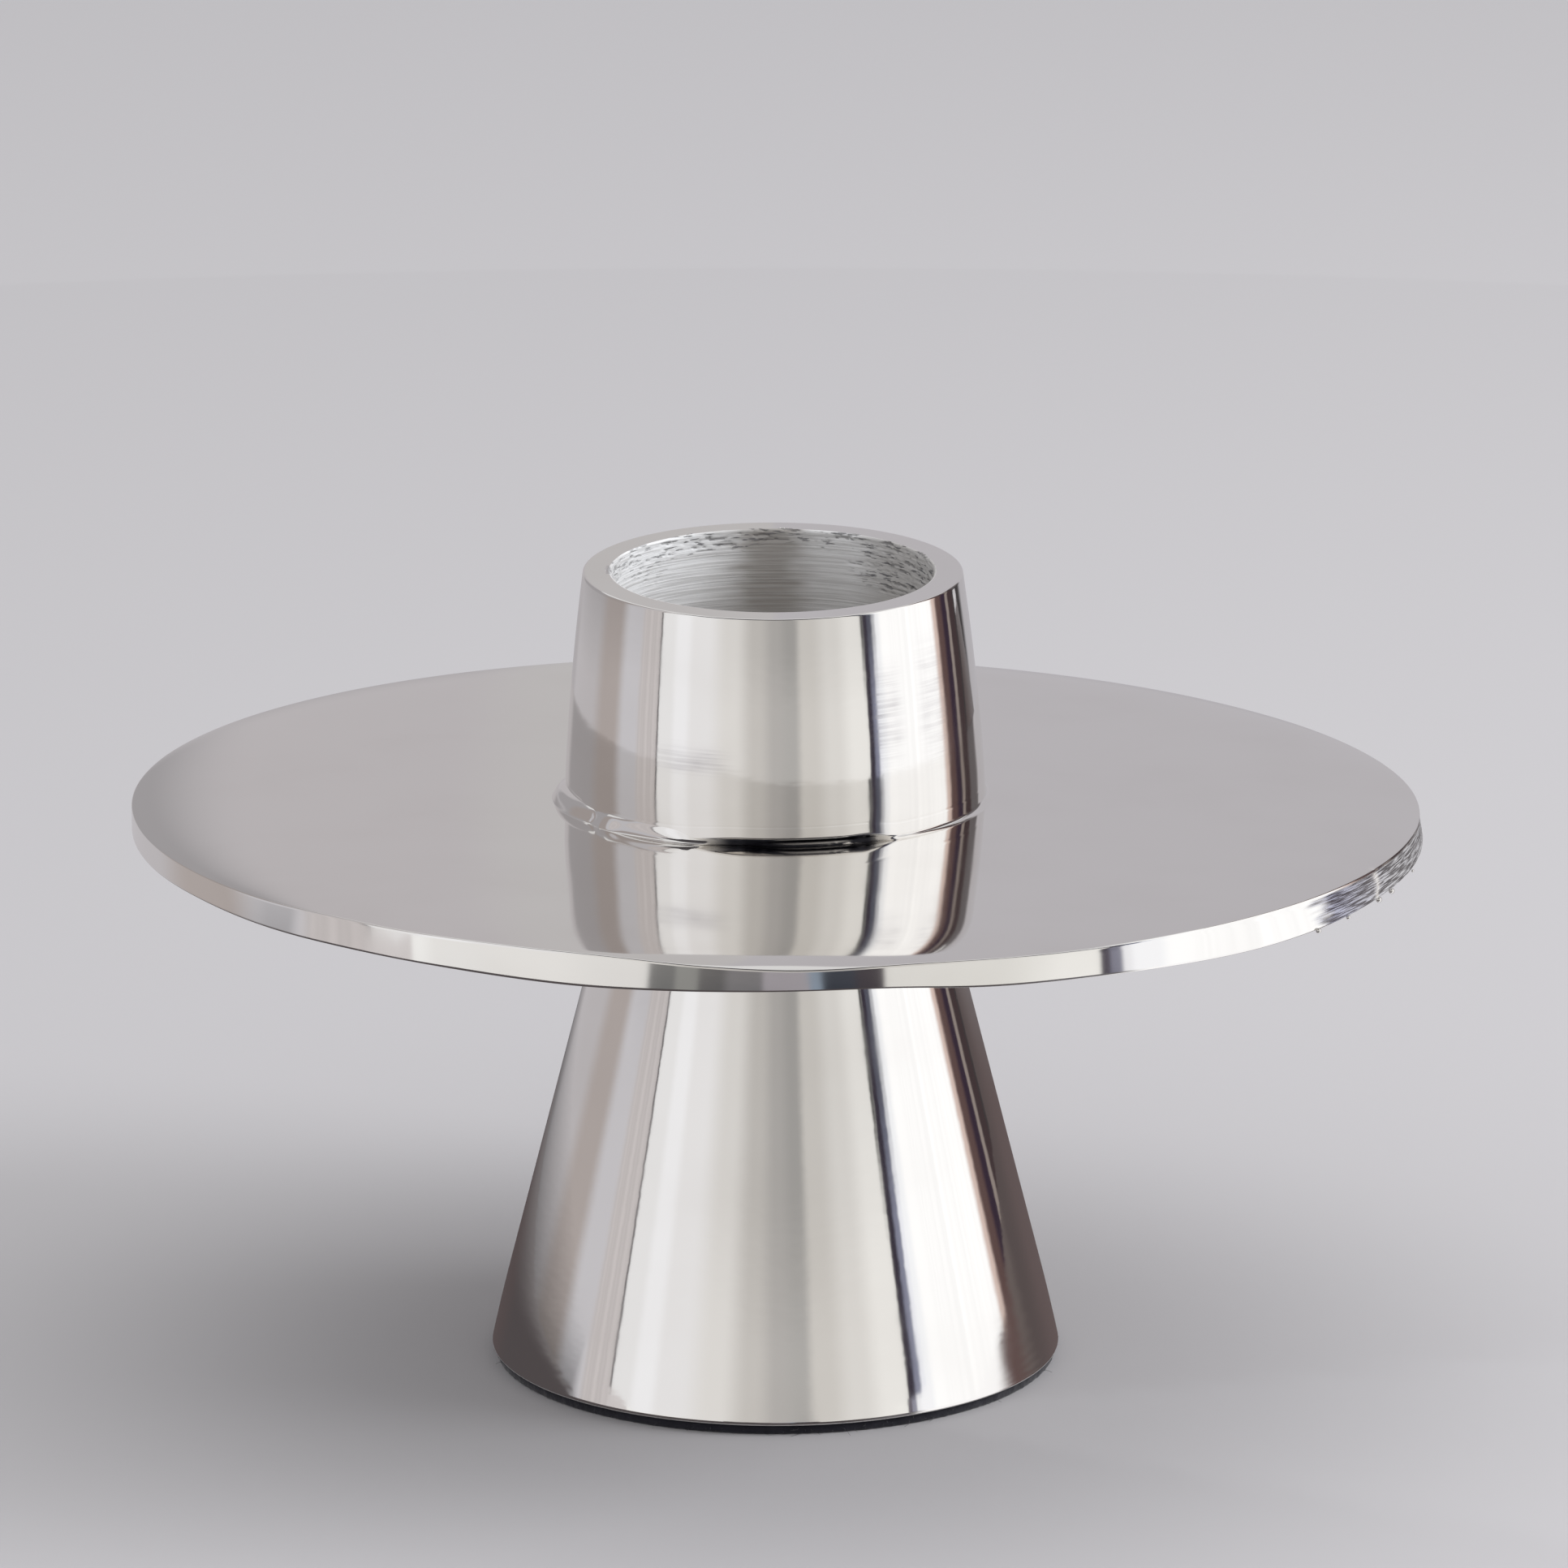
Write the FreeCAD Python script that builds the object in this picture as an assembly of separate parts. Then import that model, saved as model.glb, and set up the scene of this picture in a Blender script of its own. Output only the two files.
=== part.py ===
"""Altar candlestick: a solid tapered foot, a wide drip plate and a candle cup, drawn
together by one threaded rod along the axis.

Millimetres, +Z up. The origin is the centre of the felt's underside, where the
candlestick stands. Every round piece is one section turned about the Z axis.
"""
import FreeCAD
import Part

import math
import os

# ---------------------------------------------------------------- driving dimensions
OVERALL_HEIGHT = 132.0

FELT_THICKNESS = 1.5
FELT_INSET = 0.9              # the felt stays this far inside the edge of the foot

FOOT_BASE_RADIUS = 46.9       # where the taper would end without its edge round
FOOT_TOP_RADIUS = 24.5
FOOT_BASE_EDGE_ROUND = 0.5
FOOT_TOP_EDGE_ROUND = 0.3

PLATE_RADIUS = 104.2
PLATE_THICKNESS = 5.0
PLATE_FLAT_RADIUS = 92.0      # beyond this the polishing has softened the top face
PLATE_EDGE_DROP = 0.6         # how far the top face has fallen where it meets the edge
PLATE_TOP_EDGE_ROUND = 0.45
PLATE_BOTTOM_EDGE_ROUND = 0.35

CUP_HEIGHT = 38.0
CUP_RIM_RADIUS = 30.6
CUP_BASE_RADIUS = 34.3
CUP_SIDE_BULGE = 0.3          # the side is a shallow arc, this far outside its chord
CUP_BASE_EDGE_ROUND = 2.4
CUP_RIM_OUTER_ROUND = 0.25
CUP_RIM_INNER_ROUND = 0.4

CANDLE_SOCKET_RADIUS = 26.0   # takes a 50 mm candle with 1 mm all round
CANDLE_SOCKET_DEPTH = 30.0
CANDLE_SOCKET_FLOOR_ROUND = 1.5

BEAD_RADIUS = 35.2
BEAD_HEIGHT = 2.3
BEAD_ROOT_RADIUS = 31.0       # the filler reaches this far in under the cup's round edge
BEAD_HOLLOW = 0.25            # depth of the concave outer face

REGISTER_RADIUS = 12.0        # the hole that centres the foot and the cup in the plate
REGISTER_CLEARANCE = 0.05
REGISTER_HEIGHT = 2.4

THREAD_RADIUS = 4.0           # M8
ROD_CLEARANCE_RADIUS = 4.5
ROD_END_CHAMFER = 0.8
ROD_THREAD_ENGAGEMENT = 8.0   # length of rod screwed into the cup
ROD_TAIL_BELOW_NUT = 3.0
TAPPED_HOLE_SPARE = 0.3       # depth left above the rod's end
DRILL_POINT_HEIGHT = 1.2

SPANNER_BORE_RADIUS = 10.0    # the bore under the foot that a box spanner goes into
SPANNER_BORE_DEPTH = 24.0

FLAT_WASHER_RADIUS = 8.0
FLAT_WASHER_BORE_RADIUS = 4.2
FLAT_WASHER_THICKNESS = 1.6
SPRING_WASHER_RADIUS = 7.4
SPRING_WASHER_BORE_RADIUS = 4.05
SPRING_WASHER_THICKNESS = 2.0
SPRING_WASHER_SPLIT = 1.2
SPRING_WASHER_SPLIT_LEAN = 20.0   # degrees from the vertical
NUT_SIDES = 6
NUT_ACROSS_FLATS = 13.0
NUT_HEIGHT = 6.5
NUT_CHAMFER_ANGLE = 30.0          # degrees from the nut's face
NUT_FACE_RADIUS = 6.2             # the flat ring left on each face

# ---------------------------------------------------------------- levels along the axis
FOOT_BASE_LEVEL = FELT_THICKNESS
CUP_BASE_LEVEL = OVERALL_HEIGHT - CUP_HEIGHT
PLATE_UNDERSIDE_LEVEL = CUP_BASE_LEVEL - PLATE_THICKNESS
SOCKET_FLOOR_LEVEL = OVERALL_HEIGHT - CANDLE_SOCKET_DEPTH
CUP_REGISTER_LEVEL = CUP_BASE_LEVEL - REGISTER_HEIGHT
FOOT_REGISTER_LEVEL = PLATE_UNDERSIDE_LEVEL + REGISTER_HEIGHT
SPANNER_BORE_LEVEL = FOOT_BASE_LEVEL + SPANNER_BORE_DEPTH
FLAT_WASHER_LEVEL = SPANNER_BORE_LEVEL - FLAT_WASHER_THICKNESS
SPRING_WASHER_LEVEL = FLAT_WASHER_LEVEL - SPRING_WASHER_THICKNESS
NUT_LEVEL = SPRING_WASHER_LEVEL - NUT_HEIGHT
ROD_BOTTOM_LEVEL = NUT_LEVEL - ROD_TAIL_BELOW_NUT
ROD_TOP_LEVEL = CUP_REGISTER_LEVEL + ROD_THREAD_ENGAGEMENT

AXIS_POINT = FreeCAD.Vector(0, 0, 0)
UP = FreeCAD.Vector(0, 0, 1)
FULL_TURN = 360
EDGE_TOLERANCE = 0.001


# ---------------------------------------------------------------- shared shaping
def section_point(radius, level):
    return FreeCAD.Vector(radius, 0, level)


def straight(points):
    """Straight edges that join the section points in order."""
    pairs = zip(points, points[1:])
    return [Part.LineSegment(start, end).toShape() for start, end in pairs]


def bowed(start, end, sagitta):
    """An arc from start to end whose middle stands sagitta to the right of the chord."""
    chord = end - start
    to_the_right = FreeCAD.Vector(chord.z, 0, -chord.x).normalize()
    middle = (start + end) * 0.5 + to_the_right * sagitta
    return Part.Arc(start, middle, end).toShape()


def turned(edges):
    """Turn a closed section about the Z axis."""
    section = Part.Face(Part.Wire(edges))
    return section.revolve(AXIS_POINT, UP, FULL_TURN)


def rounded(shape, fillet_radius, edge_radius, level):
    """Round the circular edge that has this radius and lies at this level."""
    chosen = []
    for edge in shape.Edges:
        if not isinstance(edge.Curve, Part.Circle):
            continue
        same_radius = abs(edge.Curve.Radius - edge_radius) < EDGE_TOLERANCE
        same_level = abs(edge.Curve.Center.z - level) < EDGE_TOLERANCE
        if same_radius and same_level:
            chosen.append(edge)
    return shape.makeFillet(fillet_radius, chosen)


def ring(outer_radius, bore_radius, height, level):
    """A flat ring whose underside is at this level."""
    base = FreeCAD.Vector(0, 0, level)
    disc = Part.makeCylinder(outer_radius, height, base, UP)
    hole = Part.makeCylinder(bore_radius, height, base, UP)
    return disc.cut(hole)


# ---------------------------------------------------------------- the pieces
def base_felt():
    """Black felt disc glued under the foot. It hides the spanner bore."""
    return Part.makeCylinder(FOOT_BASE_RADIUS - FELT_INSET, FELT_THICKNESS, AXIS_POINT, UP)


def foot_cone():
    """Solid tapered foot with a rod hole, a spanner bore and a short centring register."""
    register_radius = REGISTER_RADIUS - REGISTER_CLEARANCE
    outline = [
        section_point(ROD_CLEARANCE_RADIUS, FOOT_REGISTER_LEVEL),
        section_point(register_radius, FOOT_REGISTER_LEVEL),
        section_point(register_radius, PLATE_UNDERSIDE_LEVEL),
        section_point(FOOT_TOP_RADIUS, PLATE_UNDERSIDE_LEVEL),
        section_point(FOOT_BASE_RADIUS, FOOT_BASE_LEVEL),
        section_point(SPANNER_BORE_RADIUS, FOOT_BASE_LEVEL),
        section_point(SPANNER_BORE_RADIUS, SPANNER_BORE_LEVEL),
        section_point(ROD_CLEARANCE_RADIUS, SPANNER_BORE_LEVEL),
    ]
    cone = turned(straight(outline + outline[:1]))
    cone = rounded(cone, FOOT_BASE_EDGE_ROUND, FOOT_BASE_RADIUS, FOOT_BASE_LEVEL)
    return rounded(cone, FOOT_TOP_EDGE_ROUND, FOOT_TOP_RADIUS, PLATE_UNDERSIDE_LEVEL)


def drip_plate():
    """Round plate whose top face stays flat and then rolls off softly to the edge."""
    edge_level = CUP_BASE_LEVEL - PLATE_EDGE_DROP
    roll_width = PLATE_RADIUS - PLATE_FLAT_RADIUS
    roll_radius = (roll_width ** 2 + PLATE_EDGE_DROP ** 2) / (2 * PLATE_EDGE_DROP)
    half_chord = math.hypot(roll_width, PLATE_EDGE_DROP) / 2
    roll_sagitta = roll_radius - math.sqrt(roll_radius ** 2 - half_chord ** 2)

    flat_end = section_point(PLATE_FLAT_RADIUS, CUP_BASE_LEVEL)
    edge_top = section_point(PLATE_RADIUS, edge_level)
    underside_and_edge = straight([
        section_point(REGISTER_RADIUS, PLATE_UNDERSIDE_LEVEL),
        section_point(PLATE_RADIUS, PLATE_UNDERSIDE_LEVEL),
        edge_top,
    ])
    roll = [bowed(edge_top, flat_end, roll_sagitta)]
    top_and_hub = straight([
        flat_end,
        section_point(REGISTER_RADIUS, CUP_BASE_LEVEL),
        section_point(REGISTER_RADIUS, PLATE_UNDERSIDE_LEVEL),
    ])
    plate = turned(underside_and_edge + roll + top_and_hub)
    plate = rounded(plate, PLATE_BOTTOM_EDGE_ROUND, PLATE_RADIUS, PLATE_UNDERSIDE_LEVEL)
    return rounded(plate, PLATE_TOP_EDGE_ROUND, PLATE_RADIUS, edge_level)


def candle_cup():
    """Thick-walled cup with a flat rim, a slightly barrelled side and a tapped underside."""
    register_radius = REGISTER_RADIUS - REGISTER_CLEARANCE
    tapped_end_level = ROD_TOP_LEVEL + TAPPED_HOLE_SPARE
    cup_foot = section_point(CUP_BASE_RADIUS, CUP_BASE_LEVEL)
    cup_rim = section_point(CUP_RIM_RADIUS, OVERALL_HEIGHT)

    register = straight([
        section_point(THREAD_RADIUS, CUP_REGISTER_LEVEL),
        section_point(register_radius, CUP_REGISTER_LEVEL),
        section_point(register_radius, CUP_BASE_LEVEL),
        cup_foot,
    ])
    side = [bowed(cup_foot, cup_rim, CUP_SIDE_BULGE)]
    socket_and_thread = straight([
        cup_rim,
        section_point(CANDLE_SOCKET_RADIUS, OVERALL_HEIGHT),
        section_point(CANDLE_SOCKET_RADIUS, SOCKET_FLOOR_LEVEL),
        section_point(0, SOCKET_FLOOR_LEVEL),
        section_point(0, tapped_end_level + DRILL_POINT_HEIGHT),
        section_point(THREAD_RADIUS, tapped_end_level),
        section_point(THREAD_RADIUS, CUP_REGISTER_LEVEL),
    ])
    cup = turned(register + side + socket_and_thread)
    cup = rounded(cup, CUP_BASE_EDGE_ROUND, CUP_BASE_RADIUS, CUP_BASE_LEVEL)
    cup = rounded(cup, CUP_RIM_OUTER_ROUND, CUP_RIM_RADIUS, OVERALL_HEIGHT)
    cup = rounded(cup, CUP_RIM_INNER_ROUND, CANDLE_SOCKET_RADIUS, OVERALL_HEIGHT)
    return rounded(cup, CANDLE_SOCKET_FLOOR_ROUND, CANDLE_SOCKET_RADIUS, SOCKET_FLOOR_LEVEL)


def cup_filler_bead(cup):
    """Ring of filler metal in the groove between the cup's round base edge and the plate."""
    root = section_point(BEAD_ROOT_RADIUS, CUP_BASE_LEVEL)
    toe = section_point(BEAD_RADIUS, CUP_BASE_LEVEL)
    crest_radius = CUP_BASE_RADIUS - CUP_BASE_EDGE_ROUND
    crest = section_point(crest_radius, CUP_BASE_LEVEL + BEAD_HEIGHT)
    shoulder = section_point(CUP_BASE_RADIUS, CUP_BASE_LEVEL + BEAD_HEIGHT)
    back = section_point(BEAD_ROOT_RADIUS, CUP_BASE_LEVEL + BEAD_HEIGHT)
    outer_face = [bowed(toe, shoulder, -BEAD_HOLLOW)]
    bead = turned(straight([root, toe]) + outer_face + straight([shoulder, crest, back, root]))
    return bead.cut(cup)


def tie_rod():
    """Threaded rod from the nut under the foot up into the cup's base."""
    chamfer_radius = THREAD_RADIUS - ROD_END_CHAMFER
    outline = [
        section_point(0, ROD_BOTTOM_LEVEL),
        section_point(chamfer_radius, ROD_BOTTOM_LEVEL),
        section_point(THREAD_RADIUS, ROD_BOTTOM_LEVEL + ROD_END_CHAMFER),
        section_point(THREAD_RADIUS, ROD_TOP_LEVEL - ROD_END_CHAMFER),
        section_point(chamfer_radius, ROD_TOP_LEVEL),
        section_point(0, ROD_TOP_LEVEL),
    ]
    return turned(straight(outline + outline[:1]))


def flat_washer():
    """Flat washer against the ceiling of the spanner bore."""
    return ring(FLAT_WASHER_RADIUS, FLAT_WASHER_BORE_RADIUS, FLAT_WASHER_THICKNESS,
                FLAT_WASHER_LEVEL)


def spring_washer():
    """Split spring washer, pressed flat by the nut."""
    washer = ring(SPRING_WASHER_RADIUS, SPRING_WASHER_BORE_RADIUS, SPRING_WASHER_THICKNESS,
                  SPRING_WASHER_LEVEL)
    middle_level = SPRING_WASHER_LEVEL + SPRING_WASHER_THICKNESS / 2
    cutter_height = 4 * SPRING_WASHER_THICKNESS
    corner = FreeCAD.Vector(0, -SPRING_WASHER_SPLIT / 2, -cutter_height / 2)
    cutter = Part.makeBox(2 * SPRING_WASHER_RADIUS, SPRING_WASHER_SPLIT, cutter_height, corner)
    cutter.rotate(AXIS_POINT, FreeCAD.Vector(1, 0, 0), SPRING_WASHER_SPLIT_LEAN)
    cutter.translate(FreeCAD.Vector(0, 0, middle_level))
    return washer.cut(cutter)


def hex_nut():
    """Hexagon nut with both faces chamfered."""
    side_angle = 2 * math.pi / NUT_SIDES
    corner_radius = NUT_ACROSS_FLATS / 2 / math.cos(side_angle / 2)
    corners = []
    for side in range(NUT_SIDES):
        angle = side_angle * side
        corners.append(FreeCAD.Vector(corner_radius * math.cos(angle),
                                      corner_radius * math.sin(angle), NUT_LEVEL))
    hexagon = Part.makePolygon(corners + corners[:1])
    prism = Part.Face(hexagon).extrude(UP * NUT_HEIGHT)

    chamfer_height = (corner_radius - NUT_FACE_RADIUS) * math.tan(math.radians(NUT_CHAMFER_ANGLE))
    top_level = NUT_LEVEL + NUT_HEIGHT
    envelope_outline = [
        section_point(0, NUT_LEVEL),
        section_point(NUT_FACE_RADIUS, NUT_LEVEL),
        section_point(corner_radius, NUT_LEVEL + chamfer_height),
        section_point(corner_radius, top_level - chamfer_height),
        section_point(NUT_FACE_RADIUS, top_level),
        section_point(0, top_level),
    ]
    envelope = turned(straight(envelope_outline + envelope_outline[:1]))
    thread = Part.makeCylinder(THREAD_RADIUS, NUT_HEIGHT, FreeCAD.Vector(0, 0, NUT_LEVEL), UP)
    return prism.common(envelope).cut(thread)


def build():
    cup = candle_cup()
    pieces = {
        "base_felt": base_felt(),
        "foot_cone": foot_cone(),
        "drip_plate": drip_plate(),
        "candle_cup": cup,
        "cup_filler_bead": cup_filler_bead(cup),
        "tie_rod": tie_rod(),
        "flat_washer": flat_washer(),
        "spring_washer": spring_washer(),
        "hex_nut": hex_nut(),
    }
    os.makedirs("parts", exist_ok=True)
    for node, shape in pieces.items():
        shape.exportStep("parts/" + node + ".step")
        size = shape.optimalBoundingBox()
        print(node, "solids", len(shape.Solids), "valid", shape.isValid(),
              "volume", round(shape.Volume), "levels", round(size.ZMin, 2), round(size.ZMax, 2),
              "width", round(size.XLength, 2))


build()
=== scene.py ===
# %% [markdown]
# # A polished altar candlestick
# The candlestick is a solid tapered foot on black felt, a wide drip plate, and a thick cup
# that holds one candle. Nearly all that is seen is mirror-polished metal, so the looks come
# from three things: very smooth round shapes, the small faults that hand work leaves on
# them, and what stands round the object to be mirrored. The construction is loaded first
# and stays as it is; the pieces made here take the place of its plain ones.

# %% Load the frame
import math
import random

import bpy
import numpy as np
from mathutils import Matrix, Vector, noise


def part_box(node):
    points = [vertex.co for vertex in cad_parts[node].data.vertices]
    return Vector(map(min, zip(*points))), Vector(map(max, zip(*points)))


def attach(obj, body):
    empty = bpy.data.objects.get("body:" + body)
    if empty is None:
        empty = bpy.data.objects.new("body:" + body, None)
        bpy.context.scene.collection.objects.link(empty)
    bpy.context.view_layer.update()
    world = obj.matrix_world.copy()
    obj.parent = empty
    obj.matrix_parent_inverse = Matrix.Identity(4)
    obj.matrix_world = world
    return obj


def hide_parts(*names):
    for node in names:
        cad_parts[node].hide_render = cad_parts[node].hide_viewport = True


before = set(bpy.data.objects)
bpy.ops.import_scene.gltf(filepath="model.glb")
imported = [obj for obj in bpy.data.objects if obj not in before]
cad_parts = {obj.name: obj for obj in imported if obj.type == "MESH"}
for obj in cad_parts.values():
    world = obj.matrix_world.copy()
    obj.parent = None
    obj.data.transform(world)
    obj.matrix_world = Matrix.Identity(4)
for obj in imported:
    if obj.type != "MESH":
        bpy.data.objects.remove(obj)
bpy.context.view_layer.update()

# %% [markdown]
# ## Working by hand in code
# An operator works on whatever is selected, so each step clears the selection, makes one
# thing active, and picks its faces by their place. Sizes are written in millimetres, as on
# a drawing, and multiplied by MM only where Blender is told about them.

# %% Units and selection
MM = 0.001


def clear_selection():
    if bpy.context.object and bpy.context.object.mode != "OBJECT":
        bpy.ops.object.mode_set(mode="OBJECT")
    bpy.ops.object.select_all(action="DESELECT")


def make_active(piece):
    clear_selection()
    piece.select_set(True)
    bpy.context.view_layer.objects.active = piece


def join_to(piece, others):
    make_active(piece)
    for other in others:
        other.select_set(True)
    bpy.ops.object.join()


# %% Reading and moving a mesh's points, in millimetres
def points_of(piece):
    flat = np.empty(len(piece.data.vertices) * 3)
    piece.data.vertices.foreach_get("co", flat)
    return flat.reshape(-1, 3) / MM


def move_points(piece, points):
    piece.data.vertices.foreach_set("co", (points * MM).ravel())
    piece.data.update()


def round_the_axis(points):
    """How far each point is from the axis, and its direction: degrees from the camera's
    side, to the camera's right."""
    x, y = points[:, 0], points[:, 1]
    return np.hypot(x, y), np.degrees(np.arctan2(x, -y))


def push_out(points, radii, distances):
    points[:, :2] *= (1 + distances / np.maximum(radii, 1))[:, None]


def keep_on_points(piece, name, values):
    """Keep one number for each point, which a material can read by its name."""
    kept = piece.data.attributes.new(name, "FLOAT", "POINT")
    kept.data.foreach_set("value", values.astype(np.float32))


# %% Smooth noise, soft steps, and tables by direction
def lumps(points, scale, shift=0.0):
    """Smooth noise from -1 to 1 at each point; scale is in lumps per millimetre."""
    scaled = points * np.array(scale) + shift
    return np.array([noise.noise(Vector(p)) for p in scaled])


def soft_step(values, low, high):
    """0 below low, 1 above high, and a smooth rise between them."""
    share = np.clip((np.asarray(values, float) - low) / (high - low), 0, 1)
    return share * share * (3 - 2 * share)


def soft_stretch(values, starts, full, falls, ends):
    """Rises from 0 to 1 over the first two values, and falls back to 0 over the last two."""
    return soft_step(values, starts, full) * (1 - soft_step(values, falls, ends))


def bell(values, middle, width):
    """1 at the middle, and smoothly down to nothing on both sides of it."""
    return np.exp(-((values - middle) / width) ** 2)


def round_table(rows, column, spread, directions):
    """One column of a table by direction, smoothed over a few degrees to have no kinks."""
    whole_degrees = np.arange(-180, 180)
    values = np.interp(whole_degrees, [row[0] for row in rows], [row[column] for row in rows])
    steps = np.arange(-12, 13)
    weights = np.exp(-(steps / spread) ** 2 / 2)
    weights /= weights.sum()
    smoothed = sum(weight * np.roll(values, step) for weight, step in zip(weights, steps))
    return np.interp(directions, np.append(whole_degrees, 180), np.append(smoothed, smoothed[0]))


# %% [markdown]
# ## The camera
# The photograph looks down at about fourteen degrees through a long lens, so the camera
# stands well back. It comes first, so that each piece can be looked at as it is made.

# %% Camera
CAMERA_DISTANCE = 1528.7
CAMERA_HEIGHT = 488.2
CAMERA_SIDESTEP = 1.4          # the candlestick stands a little left of the middle
CAMERA_TILT = 14.4
CAMERA_LENS = 223.6
bpy.ops.object.camera_add(
    location=(CAMERA_SIDESTEP * MM, -CAMERA_DISTANCE * MM, CAMERA_HEIGHT * MM),
    rotation=(math.radians(90 - CAMERA_TILT), 0, 0),
)
camera = bpy.context.object
camera.name = "camera"
camera.data.lens = CAMERA_LENS
camera.data.sensor_width = 36
camera.data.clip_start = 0.1
camera.data.clip_end = 40
bpy.context.scene.camera = camera
bpy.context.scene.view_settings.view_transform = "Standard"
print("camera", tuple(round(v, 3) for v in camera.location))

# %% [markdown]
# ## The lathe
# Every round piece on the real object is turned: a tool follows one outline while the metal
# spins. The same is done here. A plane is merged to a single point, the point is extruded
# along the outline, and the outline is spun. Spinning a whole turn at once is slow, because
# Blender looks at all the faces again for each step, so one sector is spun first and the
# sector is then copied round and joined to itself.

# %% Outlines: straight runs, arcs and rounded corners
def straight_run(start, end, steps, hold=0.0):
    """Points after start up to end. hold sets an extra point close to each end, which
    keeps a flat stretch looking flat beside a rounded corner."""
    (r0, z0), (r1, z1) = start, end
    length = math.hypot(r1 - r0, z1 - z0)
    shares = [i / steps for i in range(1, steps + 1)]
    if hold:
        shares = sorted(set(shares + [hold / length, 1 - hold / length]))
    return [(r0 + (r1 - r0) * share, z0 + (z1 - z0) * share) for share in shares]


def rounded_corner(before, corner, after, radius, steps):
    """Points along the arc that rounds a corner between two straight stretches."""
    here = Vector(corner)
    back, on = (Vector(before) - here).normalized(), (Vector(after) - here).normalized()
    half = back.angle(on) / 2
    first, last = here + back * radius / math.tan(half), here + on * radius / math.tan(half)
    centre = here + (back + on).normalized() * radius / math.sin(half)
    spoke = first - centre
    sweep = spoke.angle_signed(last - centre)
    turns = [Matrix.Rotation(-sweep * i / steps, 2) for i in range(steps + 1)]
    return [tuple(centre + turn @ spoke) for turn in turns]


# %% Turn an outline into a round piece
SECTORS = 16


def turn_on_lathe(name, outline, segments):
    clear_selection()
    bpy.ops.mesh.primitive_plane_add(size=MM, location=(0, 0, 0))
    piece = bpy.context.object
    piece.name = name
    bpy.ops.object.mode_set(mode="EDIT")
    bpy.ops.mesh.select_all(action="SELECT")
    bpy.ops.mesh.merge(type="CENTER")
    here = Vector((0, 0, 0))
    for index, (radius, height) in enumerate(outline):
        there = Vector((radius * MM, 0, height * MM))
        if index == 0:
            bpy.ops.transform.translate(value=there - here)
        else:
            bpy.ops.mesh.extrude_region_move(TRANSFORM_OT_translate={"value": there - here})
        here = there
    sector = {"angle": math.tau / SECTORS, "steps": segments // SECTORS}
    whole = {"angle": math.tau, "steps": SECTORS, "dupli": True}
    for turn in (sector, whole):
        bpy.ops.mesh.select_all(action="SELECT")
        bpy.ops.mesh.spin(center=(0, 0, 0), axis=(0, 0, 1), **turn)
        bpy.ops.mesh.select_all(action="SELECT")
        bpy.ops.mesh.remove_doubles(threshold=0.0005 * MM)
    bpy.ops.mesh.normals_make_consistent(inside=False)
    bpy.ops.object.mode_set(mode="OBJECT")
    bpy.ops.object.shade_smooth_by_angle(angle=math.radians(35))
    print(name, "faces", len(piece.data.polygons))
    return piece


# %% [markdown]
# ## A plain pale floor
# The floor is a wide disc, wide enough for every view. It is matt, so it takes the
# candlestick's soft shadow and gives nothing sharp to mirror.

# %% Floor
FLOOR_COLOUR = (0.53, 0.52, 0.535, 1)
FLOOR_RADIUS = 6000


def new_material(name):
    """A material and its skin, the node that everything else is fed to."""
    material = bpy.data.materials.new(name)
    material.use_nodes = True
    return material, material.node_tree.nodes["Principled BSDF"]


clear_selection()
bpy.ops.mesh.primitive_circle_add(vertices=128, radius=FLOOR_RADIUS * MM, fill_type="NGON")
floor = bpy.context.object
floor.name = "floor"
floor_finish, skin = new_material("pale_floor")
skin.inputs["Base Color"].default_value = FLOOR_COLOUR
skin.inputs["Roughness"].default_value = 0.9
skin.inputs["Specular IOR Level"].default_value = 0.2
floor.data.materials.append(floor_finish)

# %% [markdown]
# ## Cards round the object
# Polished metal shows its surroundings, so a bare studio would give a bare grey object. A
# photographer stands cards round such a thing: white for the broad bright bands, dark for
# the lines between them. Here the cards are one standing curtain, coloured by direction.
# Only the metal sees it: the camera looks through it, and it casts no light or shadow on
# the floor. Its back stretch is straight, like a wall that runs behind the candlestick from
# the left front to the right back.

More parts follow.
